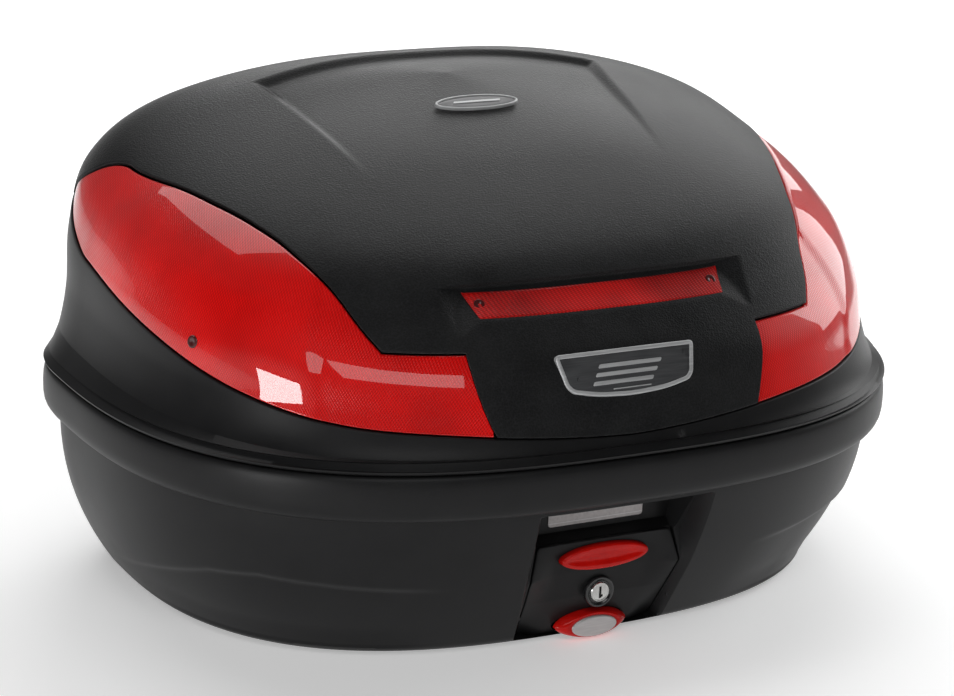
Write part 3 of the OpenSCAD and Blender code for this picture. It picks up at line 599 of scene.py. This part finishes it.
# ---------------------------------------------------------------- bottom shell
# The lock's hollow by height: half widths of its inner edge, crease and outer edge, then its two depths.
LOCK_Z = (5, 33, 54, 76, 80, 107, 113)
IN_X = (51.8, 54.3, 56.8, 52.0, 53.5, 57.5, 58)
MID_X = (52.8, 55.4, 58.0, 57.0, 57.5, 59.3, 60)
OUT_X = (57.0, 60.0, 63.0, 64.2, 64.4, 65.6, 66)
MID_DEPTH = (-153.5, -169.8, -181.5, -178.5, -181, -195, -197)
DEEP = (-149.4, -166.4, -178.5, -174, -166, -166, -166)
LOCK_END = 74.0


def lock_columns(z):
    """Half widths across the front of a row at height z, gathered at the edges of the lock's hollow."""
    e1, e2, e3 = (np.interp(z, LOCK_Z, v) for v in (IN_X, MID_X, OUT_X))
    marks = [0, e1 - 0.15, e1 + 0.25, e2, e3, e3 + 2.5, LOCK_END]
    out = []
    for a, b, n in zip(marks, marks[1:], (26, 2, 2, 9, 4, 4)):
        out += list(np.linspace(a, b, n + 1)[:-1])
    return np.array(out + [LOCK_END])


REF = arc_angles([10, 180], 2.8, BAND_OUT)


def tub_row(z, inset_of, inner=False):
    """Ring of the bottom shell at height z, with the lock's hollow in it outside or its housing inside."""
    dense = np.linspace(0, 89.9, 6000)
    x = plan(dense, inset_of(dense))[0]
    near = np.interp(lock_columns(z), x, dense)
    far = near[-1] + (180 - near[-1]) * (REF[1:] - REF[0]) / (180 - REF[0])
    p = round_from_half(np.concatenate([near, far]))
    x, y = plan(p, inset_of(np.abs(p)))
    y = y + MID_Y
    a = np.abs(x)
    front = y < 0
    if inner:
        if z < 112.1:
            wall = -147.2 if z < 17.6 else -157.6 if z < 30.5 else -163
            y = np.where(front, np.maximum(y, wall - np.clip((a - 63) / 3, 0, 1) * 60), y)
    elif 5 < z < 109.7:
        e1, e2, e3 = (np.interp(z, LOCK_Z, v) for v in (IN_X, MID_X, OUT_X))
        fade = np.clip((109.6 - z) / 2.6, 0, 1)
        t = np.clip((e3 - a) / (e3 - e2), 0, 1) ** 1.35
        mid = np.maximum(np.interp(z, LOCK_Z, MID_DEPTH), y)
        cut = y + (mid - y) * t * smooth(fade * 1.3)
        deep = np.maximum(np.interp(z, LOCK_Z, DEEP), cut)
        t = np.clip((e1 + 0.25 - a) / 0.4, 0, 1)
        cut = cut + (deep - cut) * t * fade
        y = np.where(front & (a < e3), cut, y)
    return np.stack([x, y, np.full_like(x, z)], -1)


def ledge(p, z):
    """The lower wall steps in under a soft ledge round the front corners, which dips along the sides."""
    a = np.abs(p)
    line = np.interp(a, (0, 20, 30, 40, 50, 60, 75, 90, 180), (58, 60, 62, 65, 67, 62, 44, 24, 10))
    share = smooth((a - 17) / 16) * (1 - smooth((a - 66) / 26))
    return 3.0 * share * smooth((line - z) / 5.0) * smooth(z / 26)


def tub_rows():
    rows = [tub_row(4, lambda p: tub_inset(p, 0) + 12, True)]
    for z in (11, 17.5, 17.7, 24, 30.4, 30.6, 42, 54, 66, 78, 90, 100, 108, 111.9, 112.4):
        rows.append(tub_row(z, lambda p, z=z: tub_inset(p, (z - 8) / 105) + WALL, True))
    for z, inset in ((117, BAND_OUT + WALL), (122, WALL), (128, WALL), (134, FLANGE), (145, FLANGE),
                     (145.5, FLANGE - 0.5), (145.5, 8.7), (145.4, 8.6), (142.8, 8.6), (142.8, 4.6),
                     (145.3, 4.6), (145.5, 4.4)):
        rows.append(tub_row(z, lambda p: inset + 0 * p, True))
    for z, inset in ((145.5, 3.9), (145.4, 3.2), (145.0, 2.55), (144.2, 1.9), (143, 1.3), (141, 0.8),
                     (138, 0.3), (133, 0), (128, 0), (124.5, 0.1), (121, 0.6), (118.3, 1.6), (116.3, 2.9),
                     (114.8, 4.6), (113.8, 6.6), (113.2, 8.8)):
        rows.append(tub_row(z, lambda p: inset + 0 * p))
    wall = [113, 111.5, 110.3, 109.6, 109.1, 108.6, 108.1, 107.6, 107, 106, 104.5, 102.5, 100, 97.5, 95,
            92.5, 90, 87.5, 85, 83, 81.5, 80, 79, 78, 77, 76, 75.2, 74, 72.5]
    wall += list(np.arange(71, 8.5, -1.5))
    for z in wall:
        rows.append(tub_row(z, lambda p, z=z: tub_inset(p, (z - 8) / 105) + ledge(p, z)))
    for z, extra in ((8, 0), (6.4, 1.1), (5, 2.6), (3.6, 4.9), (2.4, 7.6), (1.4, 10.8), (0.7, 14),
                     (0.25, 17.5), (0, 22)):
        rows.append(tub_row(z, lambda p: tub_inset(p, 0) + extra))
    return rows


tub = rings_mesh("bottom_shell_moulded", tub_rows(), "case", 38)
boolean(tub, hull_of(corners((-116, 116), (-116, 141), (3, 16))), "UNION")
for side in (-1, 1):
    boolean(tub, hinge_pad(side, 118, 136), "UNION")
cut = bmesh.new()
soft_box(cut, (-112, 112), (-112, 125), (-1, 12), 6)
for side in (-1, 1):
    soft_box(cut, (side * 70 - 15, side * 70 + 15), (117, 137), (3, 9), 2)
soft_box(cut, (-15, 15), (-138, -106), (-1, 11), 2)
boolean(tub, finish_mesh("seat_cutter", cut, None))
boolean(tub, box_cutter([((-46.5, 46.5), (-190, -146.5), (4.5, 75.5))] + HINGE_ROOM))


def lever_cutter(back):
    """Cutter for the release lever's hole, from in front of the case to y = back."""
    return rings_mesh("c", oval_rings(LEVER_Z, [(28, 10.8, 1.3, -232), (28, 10.8, 1.3, back)]), None)


boolean(tub, lever_cutter(-157))
dress(tub, "shell_black")
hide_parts("bottom_shell")

seal_section = [(4.8, 143), (4.8, 145.2), (5.2, 145.75), (6.0, 146), (7.2, 146), (8.0, 145.75), (8.4, 145.2),
                (8.4, 143)]
seal = rings_mesh("rim_seal_cord", [flat_row(COLS, z, i) for i, z in seal_section], "case", loop=True)
dress(seal, "rubber")
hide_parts("rim_seal")

# ---------------------------------------------------------------- red lenses
def patch(half, low, up, steps, t0, t1, extra, side):
    """Closed skin patch: each section runs up the outside and back down the inside."""
    sections = []
    for p in half:
        p = np.array([p * side])
        a, b = low(p), up(p)
        per = step_mm(p, (a + b) / 2)
        room = np.minimum(1.0, (b - a) * per / 3)
        rim = [(0.0, t1 - t0), (0.0, 0.9), (0.15, 0.42), (0.42, 0.15), (0.9, 0.0)]
        ups = [(a + d * room / per, t0 + i) for d, i in rim]
        downs = [(b - d * room / per, t0 + i) for d, i in rim[::-1]]
        a2, b2 = a + 1.3 * room / per, b - 1.3 * room / per
        mids = [(a2 + (b2 - a2) * i / steps, t0) for i in range(steps + 1)]
        inner = [(b2 + (a2 - b2) * i / 16, t1) for i in range(17)]
        pts = [lid_at(p, s, i + extra(p, s)) for s, i in ups + mids + downs + inner]
        sections.append(np.concatenate(pts))
    return sections


def lens_crease(p, s):
    """Soft folds of the side lens: one near its front and one near its rear tip."""
    a = np.abs(p)
    front = 41 + (s - 0.3) * 14
    rear = 88 - (s - 0.45) * 30
    return 1.28 * smooth((front - a) / 3.0) + 1.12 * smooth((a - rear) / 6)


LENS_HALF = arc_angles([TAB_IN + 0.5, TAB_UP, TAB_OUT, LENS_FROM, LENS_TO - 1], 2.0)
for side, tag in ((-1, "left"), (1, "right")):
    rings = patch(LENS_HALF, lambda p: low_line(p) + GAP_S, lambda p: cover_line(p) - GAP_S, 40,
                  0.0, LENS_T, lens_crease, side)
    lens = dress(rings_mesh("lens_" + tag, rings, "lid", 40), "red_lens")
    lens.data.materials[0] = LENS_SIDE[side]
    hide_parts("reflector_" + tag)
    rings = patch(LENS_HALF[1:-1], lambda p: low_line(p) + 2 * GAP_S, lambda p: cover_line(p) - 2 * GAP_S,
                  12, LENS_T + 0.15, REBATE - 0.4, lens_crease, side)
    back = dress(rings_mesh("lens_backing_" + tag, rings, "lid", 40), "red_prism")
    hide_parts("reflector_backing_" + tag)

STRIP_LOW, STRIP_UP = 0.5525, 0.6235
strip_rim = [(0.0, 2.2), (0.0, 0.7), (0.0008, 0.3), (0.0024, 0.06)]
strip_face = [(STRIP_LOW + 0.005 + (STRIP_UP - STRIP_LOW - 0.01) * k / 12, 0.0) for k in range(13)]
pts = [(STRIP_LOW + d, i) for d, i in strip_rim] + strip_face
pts += [(STRIP_UP - d, i) for d, i in strip_rim[::-1]]
at, inset = (np.array(v) for v in zip(*pts))
sections = []
for t in np.linspace(-1, 1, 131):
    q = t * (15.1 + 2.9 * (at - STRIP_LOW) / (STRIP_UP - STRIP_LOW))
    sections.append(lid_at(q, at, scoop(q, at) - 0.35 + inset))
strip = dress(rings_mesh("strip_lens_bar", sections, "lid", 40), "strip_lens")
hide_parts("strip_reflector", "strip_backing")


def skin_frame(p, s, inset=0.0):
    """Matrix that puts a piece on the skin: its +Z out of the skin, its +X level."""
    def at(a, b):
        return Vector(lid_at(np.array(a), np.array(b), inset).tolist())
    out = (at(p + 0.5, s) - at(p - 0.5, s)).cross(at(p, s + 0.004) - at(p, s - 0.004)).normalized()
    x = Vector((0, 0, 1)).cross(out).normalized()
    y = out.cross(x)
    m = Matrix((x, y, out)).transposed().to_4x4()
    return Matrix.Translation(at(p, s) * MM) @ m


def skin_lathe(name, profile, p, s, inset):
    """Turned head on the lid's skin, from (radius, height) pairs in mm."""
    t = np.linspace(0, 2 * np.pi, 40, endpoint=False)
    rings = [[(r * np.cos(a), r * np.sin(a), h) for a in t] for r, h in profile]
    ob = rings_mesh(name, rings, None, 35)
    ob.data.transform(skin_frame(p, s, inset))
    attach(ob, "lid")
    return dress(ob, "peg_dark")


PEG_P, PEG_S, SCREW_P, SCREW_S = 64, 0.4, 15.0, 0.589
PEG = [(3.0, -3.0), (3.0, -0.2), (4.0, -0.15), (4.1, 0.2), (3.8, 0.55), (3.0, 0.7), (1.6, 0.5), (0.8, 0.2)]
SCREW = [(2.0, -4.0), (2.0, -0.5), (3.6, -0.45), (3.8, -0.1), (3.5, 0.35), (2.6, 0.6), (1.4, 0.35),
         (0.6, 0.0)]
screw_inset = 0.35 + float(scoop(np.array(SCREW_P), np.array(SCREW_S))) * 0.8
pegs = [skin_lathe("lens_peg_" + tag, PEG, side * PEG_P, PEG_S, lens_crease(PEG_P, PEG_S))
        for side, tag in ((-1, "left"), (1, "right"))]
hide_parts("reflector_pegs")
screws = [skin_lathe("strip_screw_" + tag, SCREW, side * SCREW_P, SCREW_S, screw_inset)
          for side, tag in ((-1, "left"), (1, "right"))]
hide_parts("strip_screws")


# ---------------------------------------------------------------- badges
def rounded_outline(points, radius, steps=7):
    """Closed outline with its corners rounded by one radius, or by one for each corner."""
    if not isinstance(radius, list):
        radius = [radius] * len(points)
    out = []
    n = len(points)
    for i in range(n):
        a, b, c = (np.array(points[(i + k) % n], float) for k in (-1, 0, 1))
        u, v = (a - b) / np.linalg.norm(a - b), (c - b) / np.linalg.norm(c - b)
        r = min(radius[i], 0.45 * np.linalg.norm(a - b), 0.45 * np.linalg.norm(c - b))
        for k in range(steps + 1):
            t = k / steps
            out.append((1 - t) ** 2 * (b + u * r) + 2 * t * (1 - t) * b + t * t * (b + v * r))
    return np.array(out)


def resample(points, count):
    """Closed outline with count points spaced evenly along it."""
    P = np.vstack([points, points[:1]])
    run = np.concatenate([[0], np.cumsum(np.linalg.norm(np.diff(P, axis=0), axis=1))])
    t = np.linspace(0, run[-1], count, endpoint=False)
    return np.stack([np.interp(t, run, P[:, 0]), np.interp(t, run, P[:, 1])], 1)


def inset_outline(P, g):
    """Closed outline moved inwards by g."""
    t = np.roll(P, -1, 0) - np.roll(P, 1, 0)
    t /= np.maximum(np.linalg.norm(t, axis=1), 1e-9)[:, None]
    n = np.stack([-t[:, 1], t[:, 0]], 1)
    if ((P - P.mean(0)) * n).sum() > 0:
        n = -n
    return P + n * g


def plate_rings(outline, profile):
    return [[(x, y, h) for x, y in inset_outline(outline, g)] for g, h in profile]


def bend_to_skin(ob, s0, across):
    """Lays a flat piece on the lid's middle: local x along the skin, local y up the slope, local z out."""
    co = np.array([v.co for v in ob.data.vertices]) / MM
    base = lid_at(np.array(0.0), np.array(s0))
    y_dir = lid_at(np.array(0.0), np.array(s0 + 0.01)) - lid_at(np.array(0.0), np.array(s0 - 0.01))
    y_dir /= np.linalg.norm(y_dir)
    out = np.cross([1.0, 0, 0], y_dir)
    bow = across * co[:, 0] ** 2
    world = base + np.outer(co[:, 0], [1, 0, 0]) + np.outer(co[:, 1], y_dir) + np.outer(co[:, 2] - bow, out)
    for v, q in zip(ob.data.vertices, world * MM):
        v.co = q
    ob.data.update()


BADGE = resample(rounded_outline([(-51.5, 15.5), (-47, -5.5), (-43, -10), (-25, -14), (0, -15.5), (25, -14),
                                  (43, -10), (47, -5.5), (51.5, 15.5)], [4, 6, 5, 8, 8, 8, 5, 6, 4]), 260)
BADGE_S, CREST_S = 0.394, 0.94


def sagitta(s, x):
    """Bow of the lid's skin across the middle at s, as the x squared factor of its fall at half width x."""
    q0 = lid_at(np.array(0.0), np.array(s))
    p = np.linspace(0, 30, 600)
    q = lid_at(p, np.full_like(p, s))
    i = np.argmin(np.abs(q[:, 0] - x))
    y_dir = lid_at(np.array(0.0), np.array(s + 0.01)) - lid_at(np.array(0.0), np.array(s - 0.01))
    y_dir /= np.linalg.norm(y_dir)
    out = np.cross([1.0, 0, 0], y_dir)
    return float((q0 - q[i]) @ out) / x ** 2


badge_bow, crest_bow = sagitta(BADGE_S, 45.0), sagitta(CREST_S, 28.0)


def badge_piece(name, outline, profile, bow, s, slot, ring=False):
    """Badge part laid on the lid, from its outline and (inset, height) pairs; a ring is open inside."""
    ob = rings_mesh(name, plate_rings(outline, profile), None, 35, ring)
    bend_to_skin(ob, s, bow)
    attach(ob, "lid")
    return dress(ob, slot)


frame_profile = [(0, -1.8), (0, 0.5), (0.25, 0.85), (0.7, 1.05), (1.7, 1.1), (2.4, 0.95), (2.75, 0.55),
                 (2.8, -1.8)]
badge = badge_piece("badge_frame_rim", BADGE, frame_profile, badge_bow, BADGE_S, "badge_silver", True)
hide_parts("badge_frame")
plate_profile = [(2.7, -1.6), (2.7, 0.3), (2.9, 0.38), (5, 0.4), (8, 0.4), (11, 0.4)]
plate = badge_piece("badge_plate", BADGE, plate_profile, badge_bow, BADGE_S, "badge_grey")
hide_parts("badge_inset")
bar_profile = [(0, 0.2), (0, 0.75), (0.12, 0.9), (0.3, 0.95)]
bar_spans = ((-22, 24, 5.2, 2.6), (-25, 20, -0.2, 2.6), (-28, 16, -5.6, 2.6), (-14, 14, -10.2, 0.7))
for i, (x0, x1, y, h) in enumerate(bar_spans):
    lean, half = h * 0.6, h / 2
    bar = [(x0, y - half), (x1, y - half), (x1 + lean, y + half), (x0 + lean, y + half)]
    bar = resample(rounded_outline(bar, h * 0.25), 90)
    badge_piece("badge_bar_%d" % i, bar, bar_profile, badge_bow, BADGE_S, "badge_silver")
CREST = oval(32, 9, 1.0, 140)
rim_profile = [(0, -1.2), (0, 0.5), (0.3, 0.85), (0.8, 0.98), (1.3, 0.85), (1.6, 0.5), (1.65, -1.2)]
rim = badge_piece("oval_badge_frame", CREST, rim_profile, crest_bow, CREST_S, "badge_silver", True)
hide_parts("oval_badge_rim")
inset_profile = [(1.6, -1.0), (1.6, 0.3), (1.8, 0.4), (4, 0.45), (7, 0.45)]
inset = badge_piece("oval_badge_plate", CREST, inset_profile, crest_bow, CREST_S, "badge_dark")
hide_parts("oval_badge_inset")
slim = resample(rounded_outline([(-19, -1.3), (17.5, -1.3), (19, 1.3), (-17.5, 1.3)], 0.5), 80)
badge_piece("oval_badge_bar", slim, [(0, 0.2), (0, 0.7), (0.2, 0.85), (0.5, 0.9)], crest_bow, CREST_S,
            "badge_silver")

# ---------------------------------------------------------------- lock, in the XZ plane
PANEL = [(-51, 5), (51, 5), (53.5, 33), (56, 54), (50, 76), (-50, 76), (-56, 54), (-53.5, 33)]
panel_outline = resample(rounded_outline(PANEL, [2, 2, 8, 4, 3, 3, 4, 8]), 300)


def panel_face(x, z):
    """Depth y of the panel's face: flat in its middle, turned to meet the hollow's sides at its edges."""
    rows = (5, 33, 54, 76)
    half = np.interp(z, rows, (51, 53.5, 56, 50))
    edge = np.interp(z, rows, (-153, -170, -182, -178))
    mid = np.interp(z, rows, (-158.5, -169.5, -175, -178))
    return mid + (edge - mid) * smooth((np.abs(x) / half - 0.6) / 0.42)


def panel_rings():
    """Rings from the middle of the panel's face out over its edge and back to the middle behind."""
    centre = np.array([0.0, 41.0])

    def shrunk(k):
        return centre + (panel_outline - centre) * k

    front = [0.02] + list(np.linspace(0.06, 0.96, 22)) + [0.975, 0.985]
    rings = [(shrunk(k), 0.0) for k in front]
    edge = ((0.35, 0.1), (0.1, 0.3), (0.0, 0.7), (0.0, 2.9))
    rings += [(inset_outline(panel_outline, g), d) for g, d in edge]
    rings += [(shrunk(k), 3.0) for k in (0.9, 0.5, 0.05)]
    return [np.stack([q[:, 0], panel_face(q[:, 0], q[:, 1]) + d, q[:, 1]], 1) for q, d in rings]


panel = rings_mesh("lock_panel_face", panel_rings(), "case", 40)
boolean(panel, rings_mesh("c", oval_rings(BUTTON_Z, [(33.5, 9.4, 1, -195), (33.5, 9.4, 1, -160)]), None))
key_hole = [(11.3, 11.3, 1, -195), (11.3, 11.3, 1, -172.4), (10.1, 10.1, 1, -172.3), (10.1, 10.1, 1, -160)]
boolean(panel, rings_mesh("c", oval_rings(KEY_Z, key_hole), None))
boolean(panel, lever_cutter(-150))
dress(panel, "panel_black")
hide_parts("lock_panel")

button = [(36, 6.9, 1, -169.6), (36, 6.9, 1, -171.0), (33, 8.9, 1, -171.1), (33, 8.9, 1, -178.6),
          (32.75, 8.65, 1, -179.8), (32.2, 8.1, 1, -180.6), (31.4, 7.3, 1, -181.05), (30.4, 6.3, 1, -181.2),
          (29.2, 5.2, 1, -181.0), (27.2, 4.1, 1, -180.5), (24, 3.0, 1, -180.0), (18, 1.7, 1, -179.7),
          (8, 0.5, 1, -179.6)]
button = dress(rings_mesh("lid_button_cap", oval_rings(BUTTON_Z, button), "button", 50), "red_gloss")
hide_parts("lid_button")
lever = [(27.2, 10, 1.3, -162.5), (27.2, 10, 1.3, -164.7), (26.9, 9.8, 1.3, -165.4),
         (25.2, 9.4, 1.26, -167.3), (22.6, 9.0, 1.16, -168.9), (20.4, 8.6, 1.08, -169.8),
         (19.2, 8.3, 1.03, -170.1), (17.6, 7.8, 1, -170.1), (10, 4, 1, -170), (2, 1, 1, -170)]
lever = dress(rings_mesh("release_lever_cap", oval_rings(LEVER_Z, lever), "release", 40), "red_gloss")
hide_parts("release_lever")
silver = [(17, 7.4, 1, -169.9), (17, 7.4, 1, -170.6), (16.8, 7.2, 1, -170.95), (16.3, 6.8, 1, -171.2),
          (14, 5.6, 1, -171.38), (9, 3.4, 1, -171.47), (3, 1, 1, -171.5)]
silver = rings_mesh("release_lever_oval", oval_rings(LEVER_Z - 0.6, silver), "release", 40)
dress(silver, "silver_satin")
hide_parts("release_badge")


def lock_lathe(name, profile, body, loop=False):
    """Solid turned about the key's axis, from (radius, y) pairs in mm."""
    t = np.linspace(0, 2 * np.pi, 96, endpoint=False)
    rings = [[(r * np.cos(a), y, KEY_Z + r * np.sin(a)) for a in t] for r, y in profile]
    return rings_mesh(name, rings, body, 35, loop)


barrel = [(10, -150.5), (10, -173.5), (10.8, -173.6), (10.9, -174.6), (10.6, -175.2), (10.0, -175.5),
          (9.2, -175.4), (8.6, -175.0), (8.2, -174.5), (7.6, -174.3), (7.06, -174.4), (7.06, -150.5)]
barrel = dress(lock_lathe("key_barrel", barrel, "case", True), "barrel_black")
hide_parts("lock_barrel")
plug = [(7, -146.6), (7, -175.0), (6.9, -175.5), (6.5, -175.9), (5.9, -176), (5.6, -175.85), (3, -175.8),
        (0.5, -175.8)]
plug = lock_lathe("key_plug", plug, "plug")
boolean(plug, box_cutter([((-0.85, 0.85), (-185, -169), (32.4, 40.6))]))
boolean(plug, box_cutter([((0.6, 2.0), (-185, -169), (33.2, 34.8))]))
dress(plug, "plug_chrome")
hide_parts("lock_plug")



def coil_spring(name, x, z, radius, y0, y1, turns):
    """Wire coil along Y with closed turns at its ends."""
    wire, sides, per_turn = 0.45, 10, 28      # wire is its radius in mm
    count = int(turns * per_turn) + 1
    rings = []
    for i in range(count):
        t = i / (count - 1)
        a = 2 * np.pi * turns * t
        y = y0 + wire + (y1 - y0 - 2 * wire) * (t - 0.8 * np.sin(2 * np.pi * t) / (2 * np.pi))
        b = np.arange(sides) * 2 * np.pi / sides
        q = radius + wire * np.cos(b)
        rings.append(np.stack([x + q * np.cos(a), y + wire * np.sin(b), z + q * np.sin(a)], -1))
    ob = dress(rings_mesh(name, rings, "case", 60), "steel")
    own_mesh(ob)
    return ob


SPRINGS = (("button", 20, BUTTON_Z, 3.4, -167.4, 6.5, "lid_button_press", 0.75),
           ("release", 17, LEVER_Z + 24, 3.0, -160.3, 5.0, "release_press", 0.48))
SPRING_SEAT = -150.2
for tag, x, z, radius, y0, turns, joint, keep in SPRINGS:
    springs = [coil_spring("%s_spring_%s" % (tag, word), side * x, z, radius, y0, SPRING_SEAT, turns)
               for side, word in ((-1, "left"), (1, "right"))]
    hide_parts(tag + "_springs")

card = resample(rounded_outline([(-37, 84), (34.5, 84), (34.5, 106), (-37, 106)], 2.2), 120)
card_rings = [[(x, y, z) for x, z in inset_outline(card, g)] for g, y in
              ((0, -166.05), (0, -166.6), (0.15, -166.75), (0.4, -166.8), (1.6, -166.8))]
card = dress(rings_mesh("name_card", card_rings, "case"), "label")
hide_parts("name_label")

# ---------------------------------------------------------------- CAD nodes that stay, with their finishes
for item in frame["record"]["subparts"]:
    ob = frame["nodes"][item["node"]]
    if ob.hide_render:
        continue
    dress(ob, item["material_slot"])
    ob.data.shade_smooth()
    ob.data.set_sharp_from_angle(angle=math.radians(32))

# ---------------------------------------------------------------- floor, light and camera
bm = bmesh.new()
bmesh.ops.create_grid(bm, x_segments=2, y_segments=2, size=6.0)
floor = finish_mesh("floor", bm, None)
pale, _, _, shader = nodes_of("floor_pale")
for key, value in (("Base Color", (0.95, 0.95, 0.95, 1)), ("Roughness", 0.7), ("Specular IOR Level", 0.2),
                   ("Emission Color", (1, 1, 1, 1)), ("Emission Strength", 0.36)):
    shader.inputs[key].default_value = value
floor.data.materials.append(pale)

bpy.context.scene.view_settings.view_transform = "Standard"
# The room is dim in front and pale behind; the camera itself sees a plain pale backdrop all round.
world = bpy.data.worlds.new("studio")
bpy.context.scene.world = world
world.use_nodes = True
wn, wl = world.node_tree.nodes, world.node_tree.links
wn["Background"].inputs["Color"].default_value = (1, 1, 1, 1)
sky = wn.new("ShaderNodeTexCoord")
sky_parts = wn.new("ShaderNodeSeparateXYZ")
wl.new(sky.outputs["Generated"], sky_parts.inputs[0])
back = wn.new("ShaderNodeMapRange")
back.interpolation_type = "SMOOTHSTEP"
for key, value in (("From Min", -0.1), ("From Max", 0.85), ("To Min", 0.0102), ("To Max", 0.153)):
    back.inputs[key].default_value = value
wl.new(sky_parts.outputs["Y"], back.inputs["Value"])
path = wn.new("ShaderNodeLightPath")
plain = wn.new("ShaderNodeMix")
wl.new(path.outputs["Is Camera Ray"], plain.inputs["Factor"])
wl.new(back.outputs["Result"], plain.inputs["A"])
plain.inputs["B"].default_value = 0.93
wl.new(plain.outputs["Result"], wn["Background"].inputs["Strength"])


def area_light(name, place, aim, size, power):
    data = bpy.data.lights.new(name, "AREA")
    data.shape = "RECTANGLE"
    data.size, data.size_y = size
    data.energy = power
    ob = bpy.data.objects.new(name, data)
    ob.location = place
    ob.rotation_mode = "QUATERNION"
    ob.rotation_quaternion = (Vector(aim) - Vector(place)).to_track_quat("-Z", "Y")
    bpy.context.scene.collection.objects.link(ob)


area_light("soft_left", (-1.75, -0.85, 0.26), (-0.2, -0.1, 0.2), (0.6, 0.3), 10)
area_light("soft_top", (0.2, 1.2, 2.6), (0, 0.1, 0.2), (2.8, 2.0), 32)
area_light("soft_back", (1.5, 2.1, 1.6), (0, 0, 0.2), (2.4, 1.4), 32)
area_light("soft_front", (-0.9, -3.0, 2.7), (0, 0, 0.1), (2.6, 1.4), 30)
area_light("soft_right", (2.3, 0.2, 1.1), (0.1, 0, 0.2), (1.4, 1.4), 22)

# Camera fitted to the photo: place in metres, focal length in pixels of a 954 pixel wide picture.
PLACE, FOCAL_PX, WIDTH_PX, SENSOR = (-0.85695, -1.60469, 0.72089), 2701.96, 954, 36
yaw, pitch, roll = (math.radians(v) for v in (27.92, 17.302, 2.29))
forward = Vector((math.sin(yaw) * math.cos(pitch), math.cos(yaw) * math.cos(pitch), -math.sin(pitch)))
level = Vector((math.cos(yaw), -math.sin(yaw), 0))
upright = level.cross(forward)
right = level * math.cos(roll) + upright * math.sin(roll)
up = upright * math.cos(roll) - level * math.sin(roll)
cam_data = bpy.data.cameras.new("camera")
cam_data.sensor_width = SENSOR
cam_data.lens = FOCAL_PX / WIDTH_PX * SENSOR
cam_data.clip_start, cam_data.clip_end = 0.05, 60
camera = bpy.data.objects.new("camera", cam_data)
turn = Matrix((right, up, -forward)).transposed().to_4x4()
camera.matrix_world = Matrix.Translation(PLACE) @ turn
bpy.context.scene.collection.objects.link(camera)
bpy.context.scene.camera = camera
